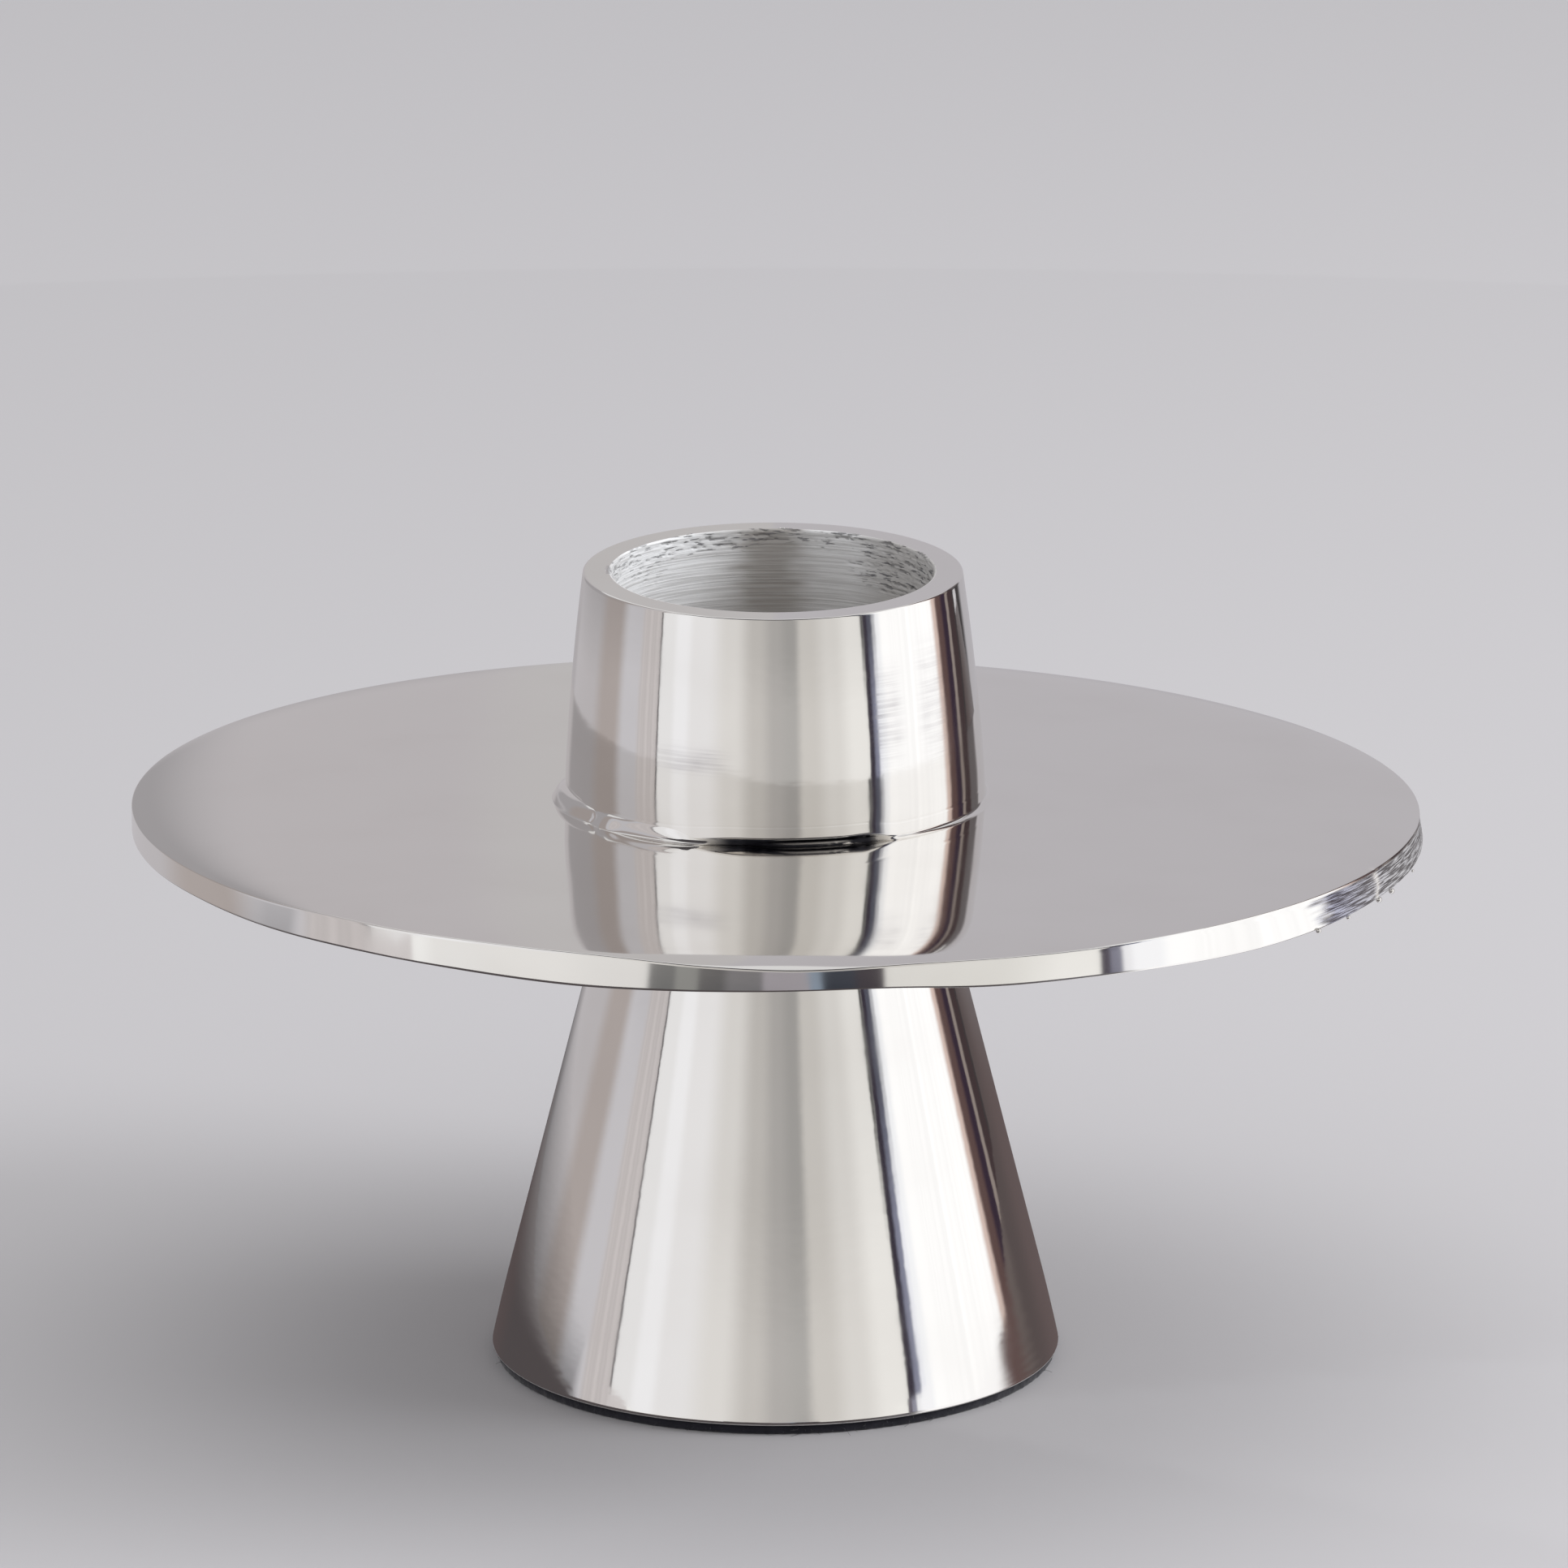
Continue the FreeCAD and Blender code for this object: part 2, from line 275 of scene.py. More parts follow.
# %% The cards, each from where it starts (degrees from the camera's side, to its right)
CARDS = [
    # name, start, soft edge, colour low down, how much of it is left higher up
    ("far wall", -180, 8, (0.50, 0.485, 0.49), 1.07),
    ("far wall in shade", -167, 6, (0.44, 0.42, 0.435), 1.17),
    ("left wall", -148, 10, (0.525, 0.505, 0.525), 0.70),
    ("left wall in shade", -112, 12, (0.45, 0.405, 0.395), 0.80),
    ("left pale card", -93, 8, (0.61, 0.60, 0.635), 0.88),
    ("left pleated cloth", -79, 4, (0.605, 0.57, 0.575), 0.95),
    ("left dark edge", -66.0, 0.4, (0.09, 0.08, 0.085), 0.7),
    ("white card", -65.1, 0.4, (0.87, 0.87, 0.885), 1.0),
    ("white card, lit", -56, 4, (0.95, 0.955, 0.985), 1.0),
    ("white card, middle", -47, 5, (0.87, 0.865, 0.88), 1.0),
    ("white card, turned away", -31, 12, (0.80, 0.785, 0.77), 0.93),
    ("grey gap", -16, 11, (0.62, 0.60, 0.58), 0.89),
    ("dark gap", -4, 9, (0.50, 0.485, 0.475), 0.88),
    ("darkest gap", 5, 8, (0.475, 0.465, 0.455), 0.80),
    ("right card, turned away", 13.5, 5, (0.68, 0.66, 0.635), 0.91),
    ("right card", 26, 10, (0.79, 0.775, 0.755), 0.92),
    ("right card, lit", 39, 10, (0.92, 0.91, 0.89), 0.92),
    ("dark upright, wider above", 50.7, 0.8, (0.90, 0.89, 0.87), 0.06),
    ("dark upright", 52.2, 0.8, (0.04, 0.032, 0.048), 1.0),
    ("dark upright, blue side", 55.2, 1.6, (0.24, 0.25, 0.34), 0.36),
    ("pale edge", 57.9, 1.0, (0.95, 0.97, 1.04), 0.55),
    ("pale edge, outer side", 60.0, 1.0, (1.04, 1.06, 1.10), 0.95),
    ("window cloth", 63, 3, (1.16, 1.165, 1.18), 1.0),
    ("window edge", 104.5, 3.5, (0.72, 0.57, 0.52), 1.0),
    ("dark flag", 108.5, 3, (0.12, 0.075, 0.072), 1.0),
    ("dark flag, deep", 115, 4, (0.042, 0.028, 0.045), 1.0),
    ("thin tan strip", 120.6, 1.0, (0.30, 0.255, 0.235), 1.0),
    ("second dark flag", 123.8, 1.5, (0.06, 0.042, 0.045), 1.0),
    ("grey flag", 131, 3, (0.055, 0.05, 0.052), 2.6),
    ("right wall", 146, 6, (0.47, 0.455, 0.48), 1.08),
]


def tone_at(direction, cards):
    """The tone in one direction, with soft changes between cards. A card is its start, soft
    edge and tone."""
    tone = np.array(cards[0][2])
    for start, soft, next_tone in cards[1:]:
        share = float(soft_step(direction, start - soft / 2, start + soft / 2))
        tone = tone * (1 - share) + np.array(next_tone) * share
    return tone


# %% Pleats: thin upright folds in the hung cloths
def pleats(direction):
    """How much brighter or darker the folds of the hung cloths make this direction."""
    left = float(soft_stretch(direction, -82, -78, -67, -66))
    window = float(soft_stretch(direction, 66, 72, 100, 103))
    fine = noise.noise(Vector((direction * 1.3, 0.5, 0)))
    fine += 0.5 * noise.noise(Vector((direction * 3.1, 7.5, 0)))
    broad = noise.noise(Vector((direction * 0.45, 3.5, 0)))
    return 1 + 0.11 * fine * left + (0.05 * fine + 0.05 * broad) * window


# %% Stand the cards up as one curtain
CARD_DISTANCE, NEARER_ON_LEFT = 400, 356
CARD_TURN = (-60, -50)                     # directions over which the nearer cards step back
CARD_HEIGHT, CARD_UPRIGHTS = 560, 1440
LOW_STRETCH = (                            # direction, height
    (-180, 560), (-172, 420), (-163, 250), (-125, 250), (-110, 560),
)
UPPER_STARTS, UPPER_FULL = 82, 112         # levels between which the upper colour takes over
WALL_OFFSET, WALL_SLOPE = 255, 0.745       # the wall's line on the floor: y = offset + slope * x
WALL_ENDS = 133                            # right of this direction the wall recedes
FARTHEST = 1000


def curtain_distance(direction):
    angle = math.radians(direction)
    towards_wall = -math.cos(angle) - WALL_SLOPE * math.sin(angle)
    wall = WALL_OFFSET / max(towards_wall, 0.01)
    cards = float(np.interp(direction, CARD_TURN, (NEARER_ON_LEFT, CARD_DISTANCE)))
    return min(wall, FARTHEST if direction > WALL_ENDS else cards)


def stand_curtain(name, distance, height):
    """An open ring of many uprights that stands on the floor."""
    clear_selection()
    bpy.ops.mesh.primitive_cylinder_add(
        vertices=CARD_UPRIGHTS, radius=distance * MM, depth=height * MM,
        location=(0, 0, height / 2 * MM), end_fill_type="NOTHING",
    )
    curtain = bpy.context.object
    curtain.name = name
    bpy.ops.object.transform_apply(location=True, rotation=True, scale=True)
    return curtain


def paint_points(piece, tones):
    painted = piece.data.color_attributes.new("card_colour", "FLOAT_COLOR", "POINT")
    painted.data.foreach_set("color", np.array(tones).ravel())


curtain = stand_curtain("card_curtain", CARD_DISTANCE, CARD_HEIGHT)
corners = points_of(curtain)
directions = round_the_axis(corners)[1]
distances = np.array([curtain_distance(direction) for direction in directions])
corners[:, :2] *= (distances / CARD_DISTANCE)[:, None]
heights = np.interp(directions, *zip(*LOW_STRETCH))
corners[:, 2] = np.where(corners[:, 2] > 1, heights, 0)
move_points(curtain, corners)
cards = [(start, soft, (*colour, upper)) for name, start, soft, colour, upper in CARDS]
paint_points(curtain, [tone_at(d, cards) * (*[pleats(d)] * 3, 1) for d in directions])
print("cards", len(CARDS), "wall behind at", round(curtain_distance(-180)), "mm")

# %% [markdown]
# A material is a chain of small nodes. The helpers below add one node each, feed it, and
# give back its output. What they are given is either a fixed value or another node's
# output, so a chain can be written as one sentence.

# %% Helpers for material nodes
def feed(socket, value):
    """Set a socket to a fixed value, or join another node's output to it."""
    if isinstance(value, bpy.types.NodeSocket):
        socket.id_data.links.new(value, socket)
    else:
        socket.default_value = value


def add_node(beside, kind):
    """A new node in the material of a node or socket that is already there."""
    return beside.id_data.nodes.new("ShaderNode" + kind)


def from_points(beside, name, output="Fac"):
    """What is kept on the mesh's points by this name."""
    reader = add_node(beside, "Attribute")
    reader.attribute_name = name
    return reader.outputs[output]


def object_axes(beside):
    """The object's own X, Y and Z at the place that is shaded, in metres."""
    place, axes = add_node(beside, "TexCoord"), add_node(beside, "SeparateXYZ")
    feed(axes.inputs["Vector"], place.outputs["Object"])
    return [axes.outputs[name] for name in "XYZ"]


def worked_out(operation, *values):
    """A sum over numbers and outputs, of which at least one is an output."""
    beside = [value for value in values if isinstance(value, bpy.types.NodeSocket)][0]
    box = add_node(beside, "Math")
    box.operation = operation
    for socket, value in zip(box.inputs, values):
        feed(socket, value)
    return box.outputs["Value"]


def ranged(value, low, high, to_low, to_high, change="SMOOTHSTEP"):
    """Turn a value between low and high into one between to_low and to_high."""
    box = add_node(value, "MapRange")
    box.interpolation_type = change
    names = ("Value", "From Min", "From Max", "To Min", "To Max")
    for name, given in zip(names, (value, low, high, to_low, to_high)):
        feed(box.inputs[name], given)
    return box.outputs["Result"]


def blended(share, first, second):
    """A colour between two."""
    box = add_node(share, "Mix")
    box.data_type = "RGBA"
    for name, given in (("Factor", share), ("A", first), ("B", second)):
        feed(box.inputs[name], given)
    return box.outputs["Result"]


# %% Materials that glow, for the mirrors alone
def glow_material(name):
    material, skin = new_material(name)
    nodes = material.node_tree.nodes
    nodes.remove(skin)
    glow = nodes.new("ShaderNodeEmission")
    feed(nodes["Material Output"].inputs["Surface"], glow.outputs["Emission"])
    material.cycles.emission_sampling = "NONE"
    return material, glow


def only_for_mirrors(thing, finish):
    thing.data.materials.append(finish)
    thing.visible_camera = False
    thing.visible_diffuse = False
    thing.visible_shadow = False


# %% The curtain's colour: lower tone, and its share higher up
WALL_SHADE_HEIGHT, WALL_SHADE = 30, 0.40   # the left wall darkens towards the floor
WALL_SHADE_ENDS = ((-20, 60), (-10, -60))  # where it ends on X and on Y: shaded, then bright

curtain_finish, glow = glow_material("card_curtain")
x, y, z = object_axes(glow)
upper_tone = from_points(glow, "card_colour", "Alpha")
upper_share = ranged(z, UPPER_STARTS * MM, UPPER_FULL * MM, 1, upper_tone, "LINEAR")
shade = ranged(z, 0, WALL_SHADE_HEIGHT * MM, WALL_SHADE, 1, "LINEAR")
for axis, (shaded, bright) in zip((x, y), WALL_SHADE_ENDS):
    bright_part = ranged(axis, shaded * MM, bright * MM, 0, 1, "LINEAR")
    shade = worked_out("MAXIMUM", shade, bright_part)
feed(glow.inputs["Color"], from_points(glow, "card_colour", "Color"))
feed(glow.inputs["Strength"], worked_out("MULTIPLY", upper_share, shade))
only_for_mirrors(curtain, curtain_finish)

# %% [markdown]
# A dark cloth lies on the floor inside the curtain, up to the wall's line; it glows for the
# mirrors alone, like the cards. It gives the underside of every curve something deep to mirror,
# which is what makes polished metal look heavy. On the right the window's reflection is painted
# on it, so it is coloured by direction too.

# %% The cloth on the floor
CLOTH_LEVEL = 0.2
CLOTH_INNER_RADIUS = 47.4
CLOTH_TONES = [
    # start, soft edge, colour
    (-180, 10, (0.095, 0.076, 0.077)),
    (-150, 20, (0.085, 0.074, 0.077)),
    (40, 20, (0.15, 0.14, 0.15)),
    # the window's reflection, painted on the cloth
    (60, 4, (1.10, 1.10, 1.12)),
    (105, 4, (0.13, 0.085, 0.082)),
    (121, 3, (0.15, 0.125, 0.12)),
    (128, 6, (0.105, 0.085, 0.085)),
    (145, 20, (0.13, 0.10, 0.10)),
]
BEYOND_CLOTH = (0.20, 0.185, 0.19, 1)
CLOTH_FADE = (-150, 30)                    # from and to, across the wall's line

# %% [markdown]
# A glossy cloth would show the window by the direction of the line of sight, not by the place
# on the cloth. So the cloth's colour, with the window's painted reflection, is worked out along
# the lines that leave the foot: each point of its side mirrors one line, and the cloth under
# that line gets that line's colour.
# The foot's bright and dark bands then run straight on down to its base.

# %% The lines that the foot's side mirrors, seen from above
FOOT_SLOPE, SIGHT_SLOPE = math.radians(14.36), math.radians(14.0)
FOOT_LINE_RADIUS = 46.5
sight = np.array([0, math.cos(SIGHT_SLOPE), -math.sin(SIGHT_SLOPE)])
foot_angles = np.radians(np.arange(-89, 89.5, 0.5))
facing = np.column_stack([
    math.cos(FOOT_SLOPE) * np.sin(foot_angles),
    -math.cos(FOOT_SLOPE) * np.cos(foot_angles),
    np.full(len(foot_angles), math.sin(FOOT_SLOPE)),
])
mirrored = sight - 2 * (facing @ sight)[:, None] * facing
line_starts = FOOT_LINE_RADIUS * np.column_stack([np.sin(foot_angles), -np.cos(foot_angles)])
line_ways = mirrored[:, :2] / np.linalg.norm(mirrored[:, :2], axis=1)[:, None]
line_directions = round_the_axis(mirrored)[1]


def direction_of_line_over(spot):
    """The direction of the mirrored line that passes over a spot on the floor."""
    away = spot - line_starts
    ahead = (away * line_ways).sum(axis=1)
    beside = np.abs(away[:, 0] * line_ways[:, 1] - away[:, 1] * line_ways[:, 0])
    beside[ahead < 0] = 1e6
    return line_directions[int(np.argmin(beside))]


# %% Lay the cloth in rings
CLOTH_RINGS = (900, 500, 300, 200, 150, 115, 90, 75, 64, 56, 51, CLOTH_INNER_RADIUS)
clear_selection()
bpy.ops.mesh.primitive_circle_add(vertices=512, radius=CLOTH_RINGS[0] * MM, fill_type="NGON",
                                  location=(0, 0, CLOTH_LEVEL * MM))
cloth = bpy.context.object
cloth.name = "dark_cloth"
bpy.ops.object.transform_apply(location=True, rotation=True, scale=True)
bpy.ops.object.mode_set(mode="EDIT")
bpy.ops.mesh.select_all(action="SELECT")
for outer, inner in zip(CLOTH_RINGS, CLOTH_RINGS[1:]):
    bpy.ops.mesh.inset(thickness=(outer - inner) * MM)
bpy.ops.mesh.delete(type="FACE")
bpy.ops.object.mode_set(mode="OBJECT")
line_seen = [direction_of_line_over(corner[:2]) for corner in points_of(cloth)]
paint_points(cloth, [(*tone_at(direction, CLOTH_TONES), 1) for direction in line_seen])
print("cloth faces", len(cloth.data.polygons))

# %% The cloth's colour, up to the wall's line
cloth_finish, glow = glow_material("dark_cloth")
x, y, z = object_axes(glow)
fade_from, fade_to = [(WALL_OFFSET + offset) * MM for offset in CLOTH_FADE]
beyond = ranged(worked_out("MULTIPLY_ADD", x, -WALL_SLOPE, y), fade_from, fade_to, 0, 1)
cloth_tone = from_points(glow, "card_colour", "Color")
feed(glow.inputs["Color"], blended(beyond, cloth_tone, BEYOND_CLOTH))
only_for_mirrors(cloth, cloth_finish)

# %% [markdown]
# The plate's upright edge looks down at the foot of the curtain. A low strip of small cards
# stands there, just inside the curtain, and gives the edge its short marks at the front.
# Its top and bottom rows have their own colours, so that the marks can slant.

# %% The low strip: each card's start, soft edge, colour along the top and along the bottom
LOW_STRIP_HEIGHT = 30
LOW_CARDS = [
    (-67, 0.4, (0.67, 0.635, 0.64), (0.65, 0.62, 0.63)),
    (-57.4, 0.8, (0.96, 0.96, 0.955), (0.90, 0.905, 0.91)),
    (-54.7, 3, (0.87, 0.86, 0.845), (0.86, 0.86, 0.87)),
    (-46, 8, (0.88, 0.87, 0.86), (0.84, 0.83, 0.82)),
    (-30, 10, (0.82, 0.81, 0.80), (0.79, 0.78, 0.77)),
    (-19.3, 0.8, (0.34, 0.33, 0.32), (0.10, 0.105, 0.11)),
    (-15.2, 1.0, (0.36, 0.36, 0.35), (0.26, 0.26, 0.25)),
    (-11.5, 1.0, (0.36, 0.34, 0.33), (0.08, 0.08, 0.085)),
    (-7.5, 2.0, (0.46, 0.42, 0.42), (0.16, 0.16, 0.17)),
    (-2.0, 1.0, (0.48, 0.45, 0.48), (0.36, 0.34, 0.37)),
    (4.8, 0.6, (0.36, 0.42, 0.50), (0.24, 0.30, 0.38)),
    (6.7, 0.5, (0.10, 0.11, 0.14), (0.016, 0.020, 0.028)),
    (12.0, 1.5, (0.12, 0.10, 0.11), (0.020, 0.020, 0.028)),
    (16.4, 0.5, (0.80, 0.79, 0.77), (0.80, 0.79, 0.76)),
    (40, 12, (0.96, 0.955, 0.93), (0.95, 0.94, 0.92)),
    (51.4, 0.6, (0.13, 0.11, 0.14), (0.05, 0.045, 0.06)),
    (53.0, 0.8, (0.34, 0.34, 0.42), (0.16, 0.16, 0.21)),
    (55.2, 0.8, (1.0, 1.01, 1.05), (0.90, 0.90, 0.94)),
    (57.0, 1.2, (1.05, 1.06, 1.10), (1.05, 1.06, 1.10)),
]
LOW_STARTS, LOW_ENDS = -66.4, 62.0
LOW_STRIP_IN_FRONT = 4                     # how far it stands inside the curtain
LOW_STRIP_CUT = ((-50, -40), (0.7, 1))     # lower on the left: directions, share of the height

# %% Stand the low strip up
strip_distance = CARD_DISTANCE - LOW_STRIP_IN_FRONT
strip = stand_curtain("low_card_strip", strip_distance, LOW_STRIP_HEIGHT)
corners = points_of(strip)
directions = round_the_axis(corners)[1]
in_bottom_row = corners[:, 2] < 1
distances = np.interp(directions, CARD_TURN, (NEARER_ON_LEFT - LOW_STRIP_IN_FRONT, strip_distance))
corners[:, :2] *= (distances / strip_distance)[:, None]
corners[:, 2] *= np.interp(directions, *LOW_STRIP_CUT)
top_cards = [(start, soft, top) for start, soft, top, bottom in LOW_CARDS]
bottom_cards = [(start, soft, bottom) for start, soft, top, bottom in LOW_CARDS]
row_cards = [bottom_cards if low else top_cards for low in in_bottom_row]
paint_points(strip, [(*tone_at(d, cards), 1) for d, cards in zip(directions, row_cards)])
away = (directions < LOW_STARTS) | (directions > LOW_ENDS)
corners[away, 2] = 0                       # elsewhere the strip is folded flat on the floor
move_points(strip, corners)
strip_finish, glow = glow_material("low_card_strip")
feed(glow.inputs["Color"], from_points(glow, "card_colour", "Color"))
only_for_mirrors(strip, strip_finish)
print("low cards", len(LOW_CARDS))

# %% [markdown]
# A dark card hangs high in front, above the camera's line. The rolled edge of the rim and
# the underside of the cup look up at it, and it is what draws their thin dark lines.

# %% The dark card above
HOOD_WIDTH, HOOD_DEPTH = 1200, 410
HOOD_FORWARD, HOOD_LEVEL = 235, 620
HOOD_COLOUR = (0.07, 0.065, 0.07, 1)
clear_selection()
bpy.ops.mesh.primitive_plane_add(size=1, location=(0, -HOOD_FORWARD * MM, HOOD_LEVEL * MM))
hood = bpy.context.object
hood.name = "dark_card_above"
hood.scale = (HOOD_WIDTH * MM, HOOD_DEPTH * MM, 1)
bpy.ops.object.transform_apply(location=True, rotation=True, scale=True)
hood_finish, glow = glow_material("dark_card_above")
glow.inputs["Color"].default_value = HOOD_COLOUR
only_for_mirrors(hood, hood_finish)

# %% [markdown]
# ## Light for the floor
# A wide soft lamp overhead and a second one on the right, where the photograph's light
# comes from, light what is matt. An even, pale world fills the shadows.

# %% Lamps and world
def soft_lamp(name, place, size, watts, colour):
    clear_selection()
    bpy.ops.object.light_add(type="AREA", location=[v * MM for v in place])
    lamp = bpy.context.object
    lamp.name = name
    lamp.data.shape = "DISK"
    lamp.data.size = size * MM
    lamp.data.energy = watts
    lamp.data.color = colour
    lamp.rotation_euler = (-Vector(place)).to_track_quat("-Z", "Y").to_euler()
    lamp.visible_glossy = False
    print(name, watts, "watts")


soft_lamp("overhead_lamp", (0, 200, 2400), 2400, 12, (1, 0.99, 0.98))
soft_lamp("window_lamp", (1500, -150, 1000), 900, 17, (0.97, 0.98, 1))

ROOM_COLOUR = (0.76, 0.76, 0.77, 1)
BACKDROP_COLOUR = (0.56, 0.55, 0.57, 1)
world = bpy.data.worlds.new("studio_world")
bpy.context.scene.world = world
world.use_nodes = True
room = world.node_tree.nodes["Background"]
room.inputs["Color"].default_value = ROOM_COLOUR
room.inputs["Strength"].default_value = 1.0
behind = add_node(room, "Background")
behind.inputs["Color"].default_value = BACKDROP_COLOUR
choose = add_node(room, "MixShader")
feed(choose.inputs["Fac"], add_node(room, "LightPath").outputs["Is Camera Ray"])
feed(choose.inputs[1], room.outputs["Background"])
feed(choose.inputs[2], behind.outputs["Background"])
feed(world.node_tree.nodes["World Output"].inputs["Surface"], choose.outputs["Shader"])

# %% [markdown]
# ## Polished aluminium
# A hand-polished mirror isn't perfect. The mop leaves fine lines in the direction that it
# was led, the surface is faintly uneven underneath, and here and there it is a little
# duller. All three are kept very small: a height of a thousandth of a millimetre already
# shows in a mirror. The lines are noise, stretched along the lay of the polish.

# %% Noise and bumps for materials
def stretched_noise(beside, scale, detail=2.0):
    """Noise over the object's own coordinates; scale is in lumps per metre on each axis."""
    place, mapping = add_node(beside, "TexCoord"), add_node(beside, "Mapping")
    feed(mapping.inputs["Scale"], scale)
    feed(mapping.inputs["Vector"], place.outputs["Object"])
    texture = add_node(beside, "TexNoise")
    feed(texture.inputs["Scale"], 1)
    feed(texture.inputs["Detail"], detail)
    feed(texture.inputs["Vector"], mapping.outputs["Vector"])
    return texture.outputs["Fac"]


def add_bumps(skin, *bumps):
    """Each bump is a height and a depth in metres, on top of what the skin has already."""
    for height, depth in bumps:
        bump = add_node(skin, "Bump")
        feed(bump.inputs["Strength"], 1)
        feed(bump.inputs["Distance"], depth)
        feed(bump.inputs["Height"], height)
        if skin.inputs["Normal"].is_linked:
            feed(bump.inputs["Normal"], fed_to(skin, "Normal"))
        feed(skin.inputs["Normal"], bump.outputs["Normal"])


def fed_to(skin, name):
    """The output that already feeds one of the skin's sockets."""
    return skin.inputs[name].links[0].from_socket


def roughen(skin, share, amount):
    rougher = worked_out("MULTIPLY_ADD", share, amount, fed_to(skin, "Roughness"))
    feed(skin.inputs["Roughness"], rougher)


# %% Polished metal
METAL_COLOUR = (0.872, 0.856, 0.834, 1)
METAL_COLOUR_DULL = (0.845, 0.826, 0.802, 1)


def polished_metal(name, lay, lay_depth, ripple_depth):
    """Returns the material's skin too, so that a piece can add its own marks."""
    material, skin = new_material(name)
    skin.inputs["Metallic"].default_value = 1
    lines = stretched_noise(skin, lay, 4)
    ripple = stretched_noise(skin, (75, 75, 60), 1)
    dimples = stretched_noise(skin, (310, 310, 520), 1)
    dulling = stretched_noise(skin, (38, 38, 55), 3)
    dullness = ranged(dulling, 0.4, 0.8, 0, 1)
    feed(skin.inputs["Base Color"], blended(dullness, METAL_COLOUR, METAL_COLOUR_DULL))
    feed(skin.inputs["Roughness"], ranged(dulling, 0.45, 0.75, 0.055, 0.10))
    add_bumps(skin, (ripple, ripple_depth), (dimples, ripple_depth * 2.5), (lines, lay_depth))
    return material, skin


# %% [markdown]
# ## Levels and radii
# Every level comes from the construction's own pieces, so that a finished piece stays
# exactly where the plain one was.

# %% Read the levels
plate_low, plate_high = [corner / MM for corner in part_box("drip_plate")]
cup_low, cup_high = [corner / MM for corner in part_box("candle_cup")]
foot_low, foot_high = [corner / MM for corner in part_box("foot_cone")]
felt_low, felt_high = [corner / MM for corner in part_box("base_felt")]
PLATE_TOP = plate_high.z
PLATE_UNDERSIDE = plate_low.z
PLATE_RADIUS = plate_high.x
RIM_LEVEL = cup_high.z
FOOT_BASE = foot_low.z
HOLE_RADIUS = 12.0
REGISTER_RADIUS = 11.95
print("plate", PLATE_UNDERSIDE, PLATE_TOP, "rim", RIM_LEVEL, "foot", FOOT_BASE)

# %% [markdown]
# ## The foot
# The foot is a solid cone with a rod hole up the middle and a wide bore for the spanner
# below. Polishing has rolled its base edge off over the last dozen millimetres, by little
# more than a quarter of a millimetre, but a mirror shows it: the reflections bend there.

# %% Turn the foot
FOOT_BASE_RADIUS = 46.9
FOOT_TOP_RADIUS = 24.5
FOOT_BASE_ROUND, FOOT_TOP_ROUND = 0.5, 0.3
FOOT_ROLL_HEIGHT, FOOT_ROLL_DEPTH = 13.0, 0.28
ROD_HOLE_RADIUS, SPANNER_BORE_RADIUS, SPANNER_BORE_TOP = 4.5, 10.0, 25.5
FOOT_SEGMENTS = 480

top_corner = (FOOT_TOP_RADIUS, PLATE_UNDERSIDE)
base_corner = (FOOT_BASE_RADIUS, FOOT_BASE)
shoulder = (REGISTER_RADIUS, PLATE_UNDERSIDE)
bore_edge = (SPANNER_BORE_RADIUS, FOOT_BASE)
top_arc = rounded_corner(shoulder, top_corner, base_corner, FOOT_TOP_ROUND, 4)
base_arc = rounded_corner(top_corner, base_corner, bore_edge, FOOT_BASE_ROUND, 6)
foot_outline = [
    (ROD_HOLE_RADIUS, SPANNER_BORE_TOP),
    (ROD_HOLE_RADIUS, foot_high.z),
    (REGISTER_RADIUS, foot_high.z),
    shoulder,
]
foot_outline += straight_run(shoulder, top_arc[0], 2, hold=0.2)[:-1] + top_arc
foot_outline += straight_run(top_arc[-1], base_arc[0], 88, hold=0.15)[:-1] + base_arc
foot_outline += straight_run(base_arc[-1], bore_edge, 3, hold=0.2)
foot_outline += [(SPANNER_BORE_RADIUS, SPANNER_BORE_TOP), (ROD_HOLE_RADIUS, SPANNER_BORE_TOP)]
foot = turn_on_lathe("tapered_foot", foot_outline, FOOT_SEGMENTS)

# %% Roll off the base edge, and leave the side very slightly uneven
points = points_of(foot)
radii, around = round_the_axis(points)
outside = soft_step(radii, 20, 22)
lowness = np.clip((FOOT_BASE + FOOT_ROLL_HEIGHT - points[:, 2]) / FOOT_ROLL_HEIGHT, 0, 1)
unevenness = lumps(points, (0.045, 0.045, 0.012)) * 0.03
unevenness += lumps(points, (0.11, 0.11, 0.03), 5) * 0.008
inward = (FOOT_ROLL_DEPTH * lowness ** 2 + 0.02 + unevenness) * outside
push_out(points, radii, -inward)
move_points(foot, points)

# %% Foot finish: the polish runs up and down the taper
foot_finish, skin = polished_metal("polished_foot", (900, 900, 9), 1.2e-6, 3.0e-6)
foot.data.materials.append(foot_finish)
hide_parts("foot_cone")
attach(foot, "root")

# %% [markdown]
# ## The drip plate
# The plate is flat for most of its width. Towards the edge the polish has worn it down,
# more and more steeply, so the cup's mirror image bends round before it reaches the edge.
# The upright edge was dressed by hand and is uneven.

# %% Turn the plate
ROLL_START = 78.0
EDGE_TOP_ROUND, EDGE_BOTTOM_ROUND = 0.25, 0.22
PLATE_SEGMENTS = 720

